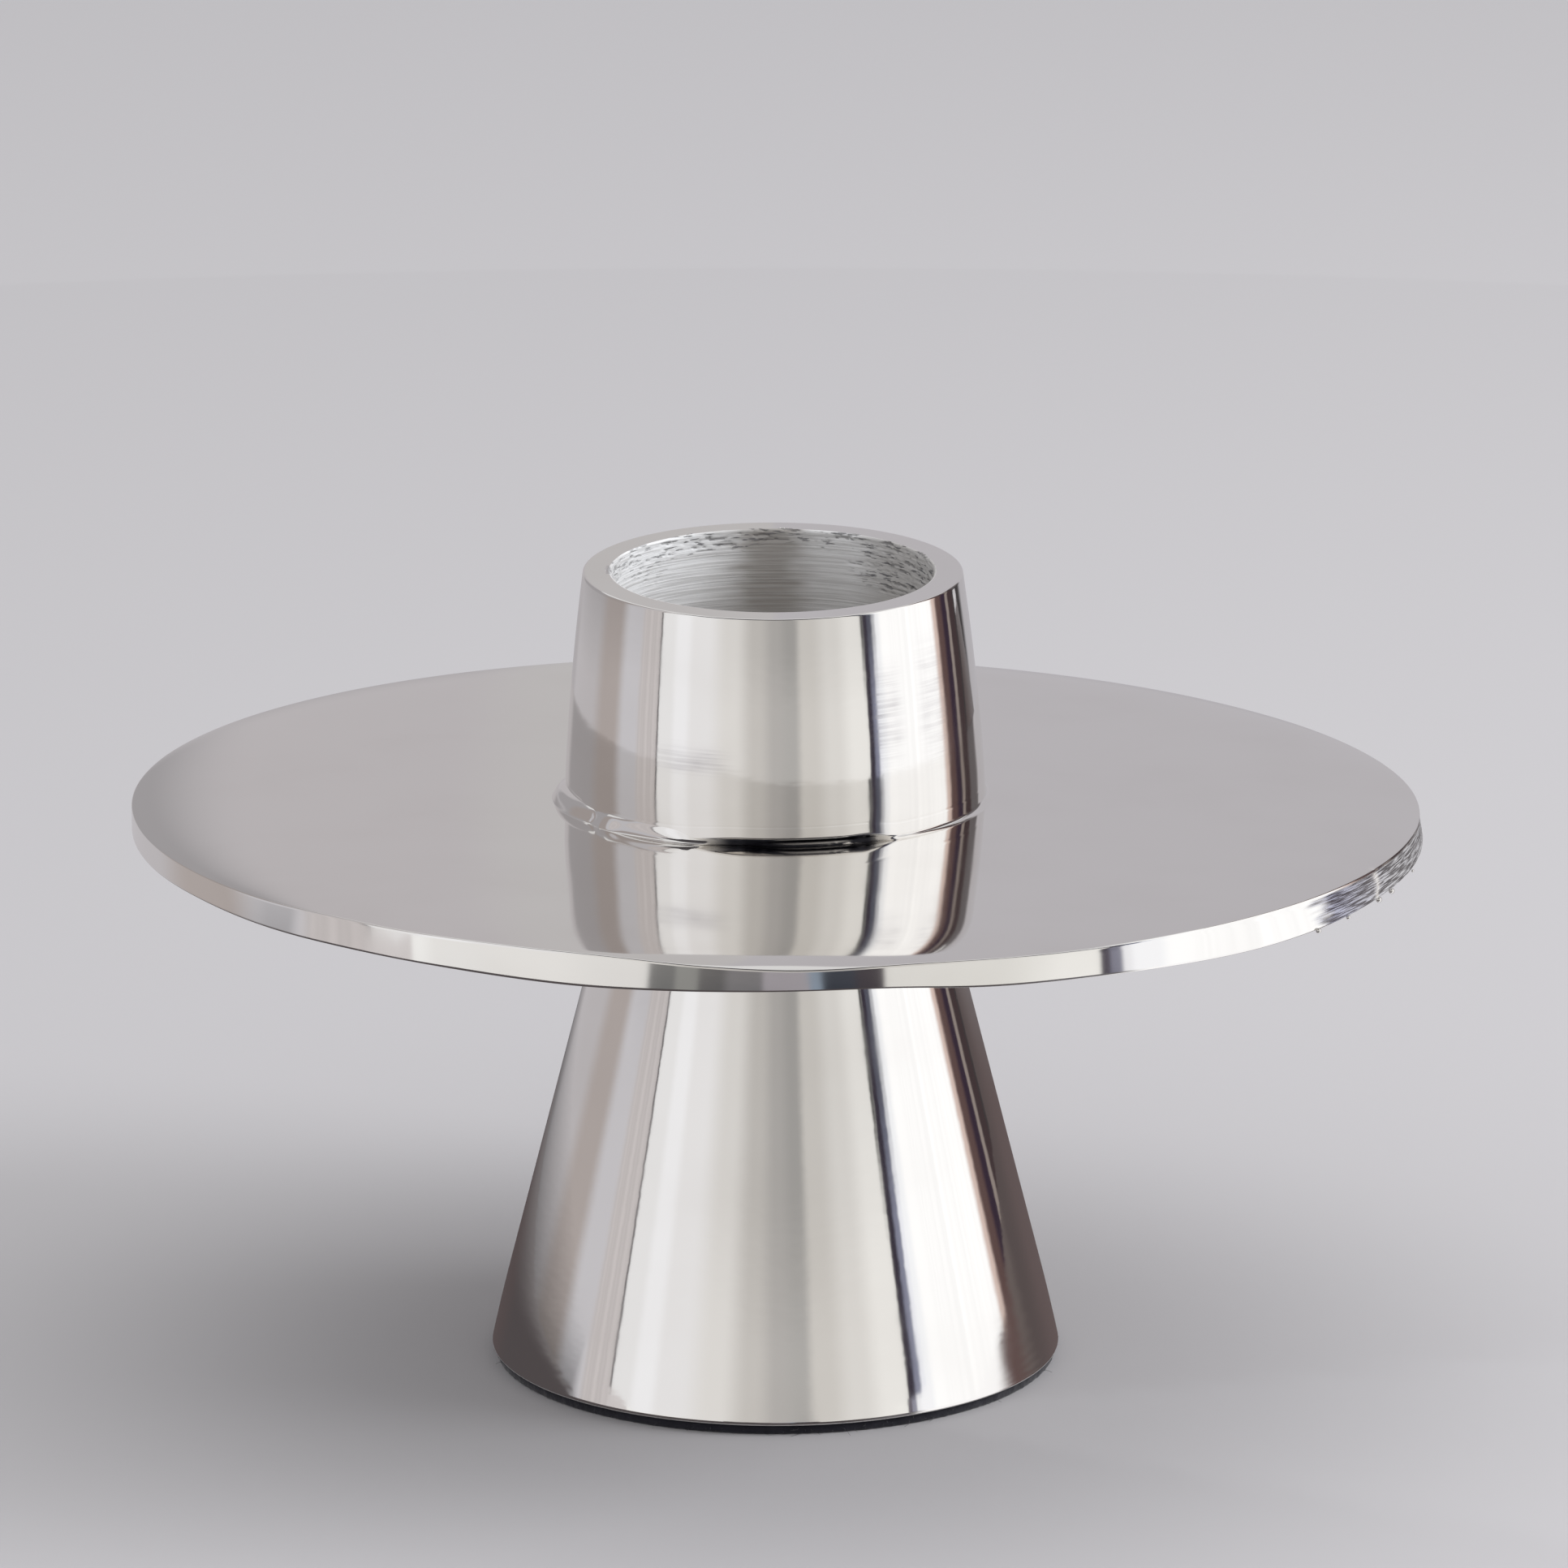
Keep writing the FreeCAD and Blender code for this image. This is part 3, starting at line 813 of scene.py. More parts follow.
edge_top_corner, edge_low_corner = (PLATE_RADIUS, PLATE_TOP), (PLATE_RADIUS, PLATE_UNDERSIDE)
roll = straight_run((ROLL_START, PLATE_TOP), edge_top_corner, 40)[:-1]
hub_low, hub_high = (HOLE_RADIUS, PLATE_UNDERSIDE), (HOLE_RADIUS, PLATE_TOP)
top_arc = rounded_corner(roll[-1], edge_top_corner, edge_low_corner, EDGE_TOP_ROUND, 6)
low_arc = rounded_corner(edge_top_corner, edge_low_corner, hub_low, EDGE_BOTTOM_ROUND, 5)
plate_outline = [hub_low, hub_high]
plate_outline += straight_run(hub_high, (ROLL_START, PLATE_TOP), 6)
plate_outline += roll + top_arc
plate_outline += straight_run(top_arc[-1], low_arc[0], 22)[:-1] + low_arc
plate_outline += straight_run(low_arc[-1], hub_low, 5, hold=0.3)
plate = turn_on_lathe("drip_plate_polished", plate_outline, PLATE_SEGMENTS)

# %% [markdown]
# The edge is dressed in code: each point near the edge moves in or out a little, by smooth
# noise that runs round the plate. On the right a file has been along it, which left fine
# ridges and a small step, and a few drops of metal hang under it. How far the top is rolled
# off differs from side to side, and so does the lower edge. The plate isn't dead level
# either: it rises a millimetre towards the left and the front, from the cup outwards.

# %% Dress the edge: noise that runs round it, and the filed stretch
FILED_FROM, FILED_STEP = 53.2, 65.2        # directions to the camera's right, in degrees
FILED_FADES = (84, 100)
FILED_DEPTH, STEP_DEPTH, LIP_HEIGHT = 0.03, 0.07, 0.06

points = points_of(plate)
radii, around = round_the_axis(points)
around_only = points * np.array([1, 1, 0])
highness = np.clip((points[:, 2] - PLATE_UNDERSIDE) / (PLATE_TOP - PLATE_UNDERSIDE), 0, 1)
lowness = np.clip((PLATE_TOP - 1 - points[:, 2]) / (PLATE_TOP - 1 - PLATE_UNDERSIDE), 0, 1)
on_top = soft_step(points[:, 2], PLATE_TOP - 1.3, PLATE_TOP - 0.9)
near_edge = soft_step(radii, PLATE_RADIUS - 1.6, PLATE_RADIUS - 0.5)
filed = soft_stretch(around, FILED_FROM, FILED_FROM + 5, *FILED_FADES)
wander = 0.05 + 0.05 * lumps(around_only, (0.02, 0.02, 0))
lean = lumps(around_only, (0.035, 0.035, 0), 9) * 0.022
above_middle = points[:, 2] - (PLATE_TOP + PLATE_UNDERSIDE) / 2
ridges = lumps(points, (0.03, 0.03, 4.2), 3) * 0.025 + lumps(points, (0.05, 0.05, 8.0), 6) * 0.015
ridges *= 1 - soft_step(highness, 0.82, 0.95)
step = soft_stretch(around, FILED_STEP - 0.2, FILED_STEP + 0.2, 80, 95) * STEP_DEPTH
lip = bell(around, FILED_STEP, 0.35) * LIP_HEIGHT
inward = wander + np.abs(lean) * 2.2 + lean * above_middle
inward += filed * (FILED_DEPTH + ridges) + step - lip
push_out(points, radii, -np.maximum(inward, 0) * near_edge)
face_wave = 0.02 + 0.02 * lumps(around_only, (0.02, 0.02, 0), 2)
points[:, 2] -= face_wave * soft_step(radii, 30, 60) * on_top
print("edge dressed by up to", round(float((inward * near_edge).max()), 2), "mm")

# %% Roll the rim off, shape its lower edge, and tilt the plate
TILT_LEFT, TILT_FRONT = 1.2, 0.9           # how far the rim rises on those sides, in mm
TILT_STARTS, TILT_FULL = 32, 60
ROLL_POWER, WORN_POWER = 4, 14
RIM_SPREAD = 2.5                           # how far the table below is smoothed, in degrees
RIM_SHAPE = [
    # direction, roll of the top, worn corner, how far the lower edge stands down and out
    (-180, 1.2, 0.3, 0, 0), (-110, 1.1, 0.2, 0, 0), (-70, 1.0, 0.1, 0.33, 0),
    (-61, 1.0, 0.1, 0.16, 0), (-49, 0.95, 0.1, 0.43, 0), (-44, 0.7, 0, 0.35, 0),
    (-39, 0.5, 0, 0.25, 0), (-34, 0.6, 0, 0.3, 0), (-28, 0.45, 0, 0.35, 0),
    (-22, 0.4, 0, 0.6, 0), (-16, 0.45, 0, 0.8, 0), (-12, 0.6, 0.05, 0.6, 0),
    (-8, 0.95, 0.3, 0.5, 0), (2, 1.2, 0.7, 0.06, 0), (8, 0.95, 0.3, -0.35, 0),
    (12, 0.75, 0.1, -0.3, 0), (16, 0.8, 0.1, 0.27, 0), (20, 0.85, 0.1, 0.46, 0),
    (27, 0.8, 0.1, 0.42, 0.05), (35, 0.6, 0, 0.58, 0.1), (40, 0.5, 0, 0.75, 0.2),
    (46, 0.4, 0, 0.88, 0.3), (57, 0.25, 0, 0.45, 0.7), (64, 0.2, 0, -0.1, 0.85),
    (75, 0.2, 0, -0.35, 0.95), (100, 0.5, 0.1, -0.5, 0.6), (130, 0.9, 0.2, 0, 0),
    (180, 1.2, 0.3, 0, 0),
]


def rim_shape(directions):
    return [round_table(RIM_SHAPE, column, RIM_SPREAD, directions) for column in (1, 2, 3, 4)]


def tilt(x, y):
    share = soft_step(np.hypot(x, y), TILT_STARTS, TILT_FULL)
    return -(TILT_LEFT * x + TILT_FRONT * y) / PLATE_RADIUS * share


rolled, worn, down, out = rim_shape(around)
roll_share = np.clip((radii - ROLL_START) / (PLATE_RADIUS - ROLL_START), 0, 1)
points[:, 2] -= (rolled * roll_share ** ROLL_POWER + worn * roll_share ** WORN_POWER) * highness
rim_share = soft_step(radii, PLATE_RADIUS - 12, PLATE_RADIUS - 1)
points[:, 2] -= down * lowness * rim_share
points[:, 2] += tilt(points[:, 0], points[:, 1])
push_out(points, radii, out * (0.25 + 0.75 * lowness) * rim_share)
move_points(plate, points)

# %% Where the file marks are; the top corner was polished again afterwards
raggedness = lumps(points, (0.25, 0.25, 1.2), 17) * 3.0
filed_here = soft_step(around + raggedness, FILED_FROM, FILED_FROM + 4)
filed_here *= (1 - soft_step(around, *FILED_FADES)) * (1 - soft_step(highness, 0.88, 0.95))
keep_on_points(plate, "filed", filed_here * near_edge)
ridge_wander = lumps(points, (0.3, 0.3, 0.5), 19) * 0.5
keep_on_points(plate, "ridge", bell(around + ridge_wander, FILED_STEP, 0.4) * near_edge)

# %% Drops of metal under the filed edge
DROPS = [
    # direction, radius
    (54.0, 0.44), (58.9, 0.36), (65.0, 0.48), (68.1, 0.46), (75.2, 0.24),
]
DROP_PROUD = 0.1                           # how far each one hangs past the lower corner
drops = []
for direction, size in DROPS:
    angle = math.radians(direction)
    down_here, out_here = [float(value) for value in rim_shape(direction)[2:]]
    reach = PLATE_RADIUS + out_here + DROP_PROUD
    across, along = math.sin(angle) * reach, -math.cos(angle) * reach
    drop_level = PLATE_UNDERSIDE - down_here + float(tilt(across, along)) - DROP_PROUD
    clear_selection()
    bpy.ops.mesh.primitive_uv_sphere_add(segments=20, ring_count=12, radius=size * MM,
                                         location=(across * MM, along * MM, drop_level * MM))
    bpy.ops.object.shade_smooth()
    bpy.ops.object.transform_apply(location=True, rotation=True, scale=True)
    drops.append(bpy.context.object)
join_to(plate, drops)
print("plate faces with drops", len(plate.data.polygons))

# %% [markdown]
# On top the plate has an even polish. Along the right of its edge the file marks are grooves
# with brighter burrs between them: the grooves are darkened with painted shade, and grooves and
# burrs are painted paler where the edge turns away to the right, as painted light. The burrs
# scatter light, so they are less like a mirror. Where the file stopped, a thin pale line runs
# down the edge.

# %% Plate finish
# painted shade in the file grooves; grooves and burrs get painted light towards the right, where
# the light falls
GROOVE_SHADE_TONES = ((0.05, 0.042, 0.06, 1), (0.24, 0.235, 0.24, 1))    # in front, and at the right
BURR_TONES = ((0.42, 0.43, 0.54, 1), (0.70, 0.70, 0.71, 1))
RIDGE_TONE = (0.98, 0.96, 0.92, 1)
LIT_FROM, LIT_FULL = 86, 99            # along X

plate_finish, skin = polished_metal("polished_plate", (120, 120, 120), 6.0e-7, 5.0e-7)
filed_part = from_points(skin, "filed")
scratches = stretched_noise(skin, (200, 200, 5600), 4)
# painted light: the filed edge is painted paler towards the right, where the light falls
lit_share = ranged(object_axes(skin)[0], LIT_FROM * MM, LIT_FULL * MM, 0, 1)
groove_shade, burr_tone = blended(lit_share, *GROOVE_SHADE_TONES), blended(lit_share, *BURR_TONES)
streaky = blended(ranged(scratches, 0.40, 0.62, 0, 1), groove_shade, burr_tone)
edge_colour = blended(filed_part, fed_to(skin, "Base Color"), streaky)
feed(skin.inputs["Base Color"], blended(from_points(skin, "ridge"), edge_colour, RIDGE_TONE))
scattering = worked_out("MULTIPLY", filed_part, ranged(scratches, 0.42, 0.60, 0.35, 0.75))
feed(skin.inputs["Metallic"], worked_out("SUBTRACT", 1, scattering))
add_bumps(skin, (worked_out("MULTIPLY", scratches, filed_part), 6.0e-5))
roughen(skin, filed_part, 0.22)
plate.data.materials.clear()
plate.data.materials.append(plate_finish)
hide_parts("drip_plate")
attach(plate, "root")

# %% [markdown]
# ## The candle cup
# The cup is a thick-walled casting. Its outside and flat rim are polished, and its side is
# a very shallow arc. The socket was only skimmed inside, so it keeps the ridges of the tool
# and, near the top, torn and pitted metal. The socket wall gets a dense mesh, because those
# faults are real shapes here and not a painted pattern.

# %% The cup's outline
CUP_BASE = PLATE_TOP
CUP_BASE_RADIUS, CUP_RIM_RADIUS, CUP_BULGE = 34.2, 30.6, 0.42
UNDERCUT_RADIUS, UNDERCUT_HEIGHT = 31.9, 1.45   # the base is cut back below its widest part
UNDERCUT_LOST = 1.05                            # how much lower it starts away from the front
TOE_LEVEL, TOE_DEPTH = 97.4, 0.02               # a fine groove above the joint
CUP_BASE_ROUND, RIM_OUTER_ROUND, RIM_INNER_ROUND = 0.6, 0.4, 0.35
SOCKET_RADIUS, SOCKET_DEPTH, SOCKET_FLOOR_ROUND = 26.0, 30.0, 1.5
THREAD_RADIUS, TAPPED_END, DRILL_POINT = 4.0, 99.9, 101.1
TORN_DEPTH = 11.0                          # how far below the rim the socket is badly torn
CUP_SEGMENTS = 528
CUP_HEIGHT = RIM_LEVEL - CUP_BASE
socket_floor = RIM_LEVEL - SOCKET_DEPTH


def cup_side(share):
    """The outside at a share of the way up: a straight taper with a shallow bulge."""
    radius = CUP_BASE_RADIUS + (CUP_RIM_RADIUS - CUP_BASE_RADIUS) * share
    return radius + 4 * CUP_BULGE * share * (1 - share), CUP_BASE + CUP_HEIGHT * share


foot_inner = (REGISTER_RADIUS, CUP_BASE)
rim_outer, rim_inner = (CUP_RIM_RADIUS, RIM_LEVEL), (SOCKET_RADIUS, RIM_LEVEL)
floor_corner, floor_middle = (SOCKET_RADIUS, socket_floor), (0, socket_floor)
undercut_end = (UNDERCUT_RADIUS, CUP_BASE)
base_corner = cup_side(UNDERCUT_HEIGHT / CUP_HEIGHT)
base_arc = rounded_corner(undercut_end, base_corner, cup_side(0.15), CUP_BASE_ROUND, 9)
outer_arc = rounded_corner(cup_side(0.99), rim_outer, rim_inner, RIM_OUTER_ROUND, 4)
inner_arc = rounded_corner(rim_outer, rim_inner, floor_corner, RIM_INNER_ROUND, 4)
floor_arc = rounded_corner(rim_inner, floor_corner, floor_middle, SOCKET_FLOOR_ROUND, 5)
side_low = (base_arc[-1][1] - CUP_BASE) / CUP_HEIGHT
side_high = (outer_arc[0][1] - CUP_BASE) / CUP_HEIGHT
side_shares = [side_low + (side_high - side_low) * i / 30 for i in range(1, 30)]
side_shares.append(side_high - 0.004)      # keeps the side straight up to the rim's corner
toe_share = (TOE_LEVEL - CUP_BASE) / CUP_HEIGHT
toe = [toe_share + offset / CUP_HEIGHT for offset in (-0.28, -0.14, 0, 0.14, 0.28)]
side_shares = sorted([share for share in side_shares if abs(share - toe_share) > 0.01] + toe)

# %% Spin the cup's outline
cup_outline = [(0, DRILL_POINT), (THREAD_RADIUS, TAPPED_END), (THREAD_RADIUS, cup_low.z)]
cup_outline += [(REGISTER_RADIUS, cup_low.z), foot_inner]
cup_outline += straight_run(foot_inner, undercut_end, 2)
cup_outline += straight_run(undercut_end, base_arc[0], 3)[:-1] + base_arc
for share in side_shares:
    radius, height = cup_side(share)
    groove = TOE_DEPTH if share == toe_share else 0
    cup_outline.append((radius - groove, height))
cup_outline += outer_arc
cup_outline += straight_run(outer_arc[-1], inner_arc[0], 5, hold=0.12)[:-1] + inner_arc
torn_end = (SOCKET_RADIUS, RIM_LEVEL - TORN_DEPTH)
cup_outline += straight_run(inner_arc[-1], torn_end, 52)
cup_outline += straight_run(torn_end, floor_arc[0], 30)[:-1] + floor_arc
cup_outline += straight_run(floor_arc[-1], floor_middle, 12, hold=0.3)
cup = turn_on_lathe("candle_cup_polished", cup_outline, CUP_SEGMENTS)

# %% [markdown]
# The socket's faults are worked in by moving points outwards, into the wall: long shallow
# ridges that the tool left, then short torn flakes where the casting was soft. How deep
# each point went and how torn the metal is there are kept in attributes, so that the
# material can darken the flakes with painted shade and add finer ones.

# %% Where the socket is torn: how badly in each direction, and how far down
RIDGE_DEPTH, FLAKE_DEPTH, CRACK_DEPTH = 0.07, 0.24, 0.14
TORN_PLACES = [
    # middle, half width (degrees from the camera's side), how badly, how far down
    (-152, 24, 0.75, 5.0),
    (-120, 22, 0.50, 9.0),
    (177, 16, 0.60, 3.4),
    (155, 12, 0.70, 4.2),
    (122, 28, 1.00, 11.0),
    (-95, 18, 0.60, 8.0),
]
points = points_of(cup)
radii, around = round_the_axis(points)
level = points[:, 2]                       # a view of the points: it follows them when they move
below_rim = RIM_LEVEL - level
in_socket = 1 - soft_step(radii, SOCKET_RADIUS + 0.30, SOCKET_RADIUS + 0.55)
in_socket *= soft_step(level, socket_floor + 0.5, socket_floor + 3)
torn = np.zeros(len(points))
for middle, half_width, how_badly, how_deep in TORN_PLACES:
    aside = np.abs((around - middle + 180) % 360 - 180)
    here = 1 - soft_step(aside, half_width * 0.6, half_width * 1.3)
    here *= 1 - soft_step(below_rim, how_deep * 0.45, how_deep)
    torn = np.maximum(torn, how_badly * here)

# %% Ridges, flakes and cracks in the socket
ridges = lumps(points, (0.02, 0.02, 0.95)) * 0.6 + lumps(points, (0.06, 0.06, 2.1), 4) * 0.4
ragged = lumps(points, (1.3, 1.3, 2.6), 2) * 0.35
flakes = lumps(points, (0.24, 0.24, 2.0), 7) + ragged
flakes = soft_step(flakes, 0.52 - 0.22 * torn, 0.62 - 0.22 * torn) * soft_step(torn, 0.1, 0.4)
cracks = np.abs(lumps(points, (0.22, 0.22, 1.6), 15) + ragged * 0.5)
cracks = (1 - soft_step(cracks, 0.02, 0.08)) * soft_step(torn, 0.5, 0.9)
grain = lumps(points, (1.1, 1.1, 2.2), 21) + lumps(points, (0.5, 0.5, 1.8), 28)
grain *= 0.006 + 0.014 * torn
faults = FLAKE_DEPTH * flakes + CRACK_DEPTH * cracks
depth = np.maximum((RIDGE_DEPTH * ridges + faults + grain) * in_socket, -0.10)
push_out(points, radii, depth)
print("deepest fault", round(float(depth.max()), 2), "mm")

# %% The outside: very slightly out of true, and undercut in front alone
on_side = soft_step(radii, 30.0, 30.3) * (1 - in_socket)
wave = 0.02 + lumps(points, (0.05, 0.05, 0.05), 30) * 0.025
wave += lumps(points, (0.12, 0.12, 0.16), 33) * 0.007
push_out(points, radii, -wave * on_side)
not_undercut = 1 - soft_stretch(around, -32, -8, 24, 36)
in_foot = soft_stretch(level, CUP_BASE, CUP_BASE + UNDERCUT_HEIGHT, 96.2, 99.4) * (radii > 31)
points[:, 2] -= UNDERCUT_LOST * not_undercut * in_foot

# %% [markdown]
# The cup was joined by hand, and it doesn't stand dead square: it leans nearly two degrees
# towards the front and half a degree to the left, and its rim was dressed to match. The
# lean grows from nothing at the plate, so the joint stays closed.

# %% Lean the cup
LEAN_FORWARD, LEAN_LEFT, RIM_LIFT = math.radians(1.7), math.radians(0.6), 0.5
share_up = np.clip((points[:, 2] - CUP_BASE) / CUP_HEIGHT, 0, 1)
height_up = share_up * CUP_HEIGHT
drop = share_up * (math.tan(LEAN_FORWARD) * (CUP_RIM_RADIUS - points[:, 1]) - RIM_LIFT)
points[:, 0] -= height_up * math.tan(LEAN_LEFT)
points[:, 1] -= height_up * math.tan(LEAN_FORWARD)
points[:, 2] -= drop
move_points(cup, points)
keep_on_points(cup, "pit", np.clip(faults / (FLAKE_DEPTH + CRACK_DEPTH), 0, 1))
keep_on_points(cup, "torn", torn * in_socket)
print("rim lower in front by", round(float(drop.max()), 2), "mm")

# %% Painted shade in the socket: by direction, lightest on the lit left side, and darker with depth
SOCKET_SHADE_PLACES = [
    # direction, how much painted shade
    (-180, 0.88), (-172, 0.85), (-167, 0.55), (-161, 0.30), (-150, 0.05), (-135, 0.0),
    (-118, 0.0), (-105, 0.10), (-90, 0.25), (0, 0.50), (90, 0.60), (105, 0.62), (132, 0.64),
    (140, 0.55), (150, 0.28), (164, 0.34), (169, 0.56), (174, 0.84), (180, 0.88),
]
socket_shade = round_table(SOCKET_SHADE_PLACES, 1, 1.5, around + lumps(points, (0.2, 0.2, 0.9), 60) * 5)
socket_shade += (1 - socket_shade) * 0.35 * soft_step(below_rim, 2, 15)
keep_on_points(cup, "socket_shade", np.clip(socket_shade, 0, 1))

# %% Painted shade in the undercut under the front of the cup
UNDERCUT_SHADE_PLACES = [
    # direction, how high the painted shade stands
    (-180, 0), (-27, 0), (-22, 0.3), (-14, 0.5), (-6, 0.9), (20, 1.0), (28, 0.8), (33, 0), (180, 0),
]
shade_top = round_table(UNDERCUT_SHADE_PLACES, 1, 1.2, around) + lumps(points, (0.7, 0.7, 0.7), 70) * 0.25
underneath = (radii > 30.5) & (radii < 35) & (level < 97) & (shade_top > 0.25)
under_cup_shade = 1 - soft_step(level - CUP_BASE, shade_top - 0.12, shade_top + 0.12)
keep_on_points(cup, "under_cup_shade", under_cup_shade * underneath)

# %% Dull patches on the outside, where the mop went over it once too often or not enough
DULL_PATCHES = [
    # direction, half width, middle level, half height, how dull
    (34, 5.5, 114.0, 8.0, 0.8),
    (51, 6.5, 115.0, 10.0, 0.6),
    (-23, 11, 107.5, 2.2, 1.0),
]
dull = np.zeros(len(points))
for middle, half_width, middle_level, half_height, how_dull in DULL_PATCHES:
    beside = np.abs(around - middle) / half_width
    above = np.abs(level - middle_level) / half_height
    here = (1 - soft_step(beside, 0.3, 1.3)) * (1 - soft_step(above, 0.3, 1.3))
    dull = np.maximum(dull, how_dull * here)
dull *= 0.75 + 0.5 * lumps(points, (0.35, 0.35, 1.3), 50)
keep_on_points(cup, "dull", np.clip(dull * on_side, 0, 1))

# %% [markdown]
# The outside and the rim get the polished finish, a little duller in patches and painted dark
# as shade in the undercut. The socket has a finish of its own, as cast: pale metal under painted
# shade, which deepens towards the bottom and away from the lit left side, with the tool's fine
# streaks, and dark flecks and pits where it is torn; the pits are darkened with painted shade.

# %% Cup finish
DULL_COLOUR = (0.62, 0.60, 0.60, 1)
UNDERCUT_SHADE = (0.07, 0.068, 0.085, 1)
cup_finish, skin = polished_metal("polished_cup", (26, 26, 1900), 8.0e-7, 3.0e-6)
hatching = stretched_noise(skin, (60, 60, 2600), 4)
hatched = ranged(hatching, 0.35, 0.62, 0.3, 1)
dull_share = worked_out("MULTIPLY", from_points(skin, "dull"), hatched)
outside_colour = blended(dull_share, fed_to(skin, "Base Color"), DULL_COLOUR)
# painted shade under the front of the cup, in the undercut
shaded_colour = blended(from_points(skin, "under_cup_shade"), outside_colour, UNDERCUT_SHADE)
feed(skin.inputs["Base Color"], shaded_colour)
roughen(skin, dull_share, 0.14)
cup.data.materials.append(cup_finish)

# %% Socket finish
CAST_PALE, CAST_GREYER = (0.98, 0.99, 1.0, 1), (0.93, 0.94, 0.96, 1)
SOCKET_SHADE_COLOUR = (0.25, 0.225, 0.20, 1)
STREAK_COLOUR = (0.42, 0.41, 0.40, 1)
FLECK_COLOUR, PIT_SHADE_COLOUR = (0.10, 0.10, 0.11, 1), (0.13, 0.125, 0.13, 1)
cast_finish, skin = new_material("cast_socket")
skin.inputs["Metallic"].default_value = 0.1
streaks = stretched_noise(skin, (45, 45, 2400), 4)
grit = stretched_noise(skin, (1900, 1900, 1900), 2)
blotches = stretched_noise(skin, (120, 120, 260), 3)
flecks = ranged(stretched_noise(skin, (380, 380, 2600), 3), 0.58, 0.66, 0, 1)
torn_share = ranged(from_points(skin, "torn"), 0.1, 0.8, 0, 0.85)
fleck_share = worked_out("MULTIPLY", flecks, torn_share)
# painted shade in the pits, darkest where the points were pushed furthest into the wall
pit_shade = ranged(from_points(skin, "pit"), 0.2, 0.8, 0, 0.7)
wall = blended(blotches, CAST_PALE, CAST_GREYER)
# painted shade: the socket wall darkens with depth and away from its lit left side
wall = blended(from_points(skin, "socket_shade"), wall, SOCKET_SHADE_COLOUR)
wall = blended(ranged(streaks, 0.44, 0.60, 0, 0.42), wall, STREAK_COLOUR)
wall = blended(fleck_share, wall, FLECK_COLOUR)
feed(skin.inputs["Base Color"], blended(pit_shade, wall, PIT_SHADE_COLOUR))
feed(skin.inputs["Roughness"], ranged(blotches, 0.3, 0.7, 0.38, 0.52))
add_bumps(skin, (streaks, 1.6e-4), (fleck_share, 9.0e-5), (grit, 9.0e-6))
cup.data.materials.append(cast_finish)

# %% Give the socket's faces the cast finish
rough_points = (in_socket > 0.4) | (np.abs(level - socket_floor) < 3)
rough_points &= (radii < SOCKET_RADIUS + 0.5) & (level > socket_floor - 0.5)
rough_faces = rough_points[[face.vertices[0] for face in cup.data.polygons]]
cup.data.polygons.foreach_set("material_index", rough_faces.astype(np.int32))
cup.data.update()
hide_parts("candle_cup")
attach(cup, "root")
print("rough faces", int(rough_faces.sum()))

# %% [markdown]
# ## The filler metal
# The cup is joined to the plate by a run of filler metal. On the left it was laid on thick
# and dressed by hand: a glossy lobe, a blob beside it, then a smooth hollow band that thins
# out towards the front. In front it was cut back under the cup's foot, and there it is painted
# dark as shade under the cup, apart from a few bright flecks. On the right it is a slim,
# polished fillet that runs smoothly from the plate into the cup.

# %% Turn the filler as a closed ring
BEAD_INNER, BEAD_OUTER, BEAD_CREST, BEAD_SUNK = 30.5, 36.3, 2.4, 0.06
BEAD_TOP_RADIUS = 34.1
BEAD_SEGMENTS = 512
bead_outline = [(BEAD_INNER, CUP_BASE - BEAD_SUNK)]
bead_outline += straight_run(bead_outline[0], (BEAD_OUTER, CUP_BASE - BEAD_SUNK), 6)
for i in range(1, 21):
    share = 1 - math.cos(math.radians(90 * i / 20))
    radius = BEAD_TOP_RADIUS + (BEAD_OUTER - BEAD_TOP_RADIUS) * (1 - share)
    bead_outline.append((radius, CUP_BASE + BEAD_CREST * share))
bead_outline += straight_run(bead_outline[-1], (BEAD_INNER, CUP_BASE + BEAD_CREST), 4)
bead_outline += straight_run(bead_outline[-1], bead_outline[0], 2)
bead = turn_on_lathe("filler_bead", bead_outline, BEAD_SEGMENTS)

# %% Shape it round the cup: how far out and how high it stands in each direction
BEAD_PLACES = [
    # direction, radius at the top, reach beyond it, height, and 0 for hollow to 1 for full
    (-180, 34.1, 1.5, 1.5, 0.1), (-110, 34.1, 1.7, 1.8, 0.1), (-96, 34.1, 1.9, 2.1, 0.3),
    (-88, 34.1, 2.2, 2.5, 0.8), (-78, 34.1, 2.3, 2.6, 0.9), (-68, 34.1, 2.1, 2.5, 0.8),
    (-61, 34.1, 1.7, 2.2, 0.5), (-56, 34.1, 1.4, 2.0, 0.4), (-51, 34.1, 1.8, 2.4, 0.9),
    (-46, 34.1, 1.6, 2.1, 0.4), (-40, 34.1, 1.9, 2.2, 0.15), (-30, 34.1, 1.9, 2.1, 0.1),
    (-24, 33.9, 1.6, 1.9, 0.15), (-18, 33.0, 1.4, 1.5, 0.2), (-12, 32.2, 1.2, 1.1, 0.3),
    (-6, 32.0, 1.2, 0.8, 0.5), (4, 32.6, 1.5, 0.8, 0.6), (22, 32.6, 1.5, 0.8, 0.6),
    (29, 33.2, 1.1, 0.7, 0.3), (36, 33.9, 1.1, 0.7, 0), (60, 33.9, 1.3, 1.0, 0),
    (100, 33.9, 1.4, 1.2, 0), (180, 34.1, 1.5, 1.5, 0.1),
]
BLOB_AT, CREASE_AT, LOBE_AT = -51, -57, -77    # directions
points = points_of(bead)
radii, around = round_the_axis(points)
top_radius, reach, height, fullness = [
    round_table(BEAD_PLACES, column, 1.6, around) for column in (1, 2, 3, 4)
]
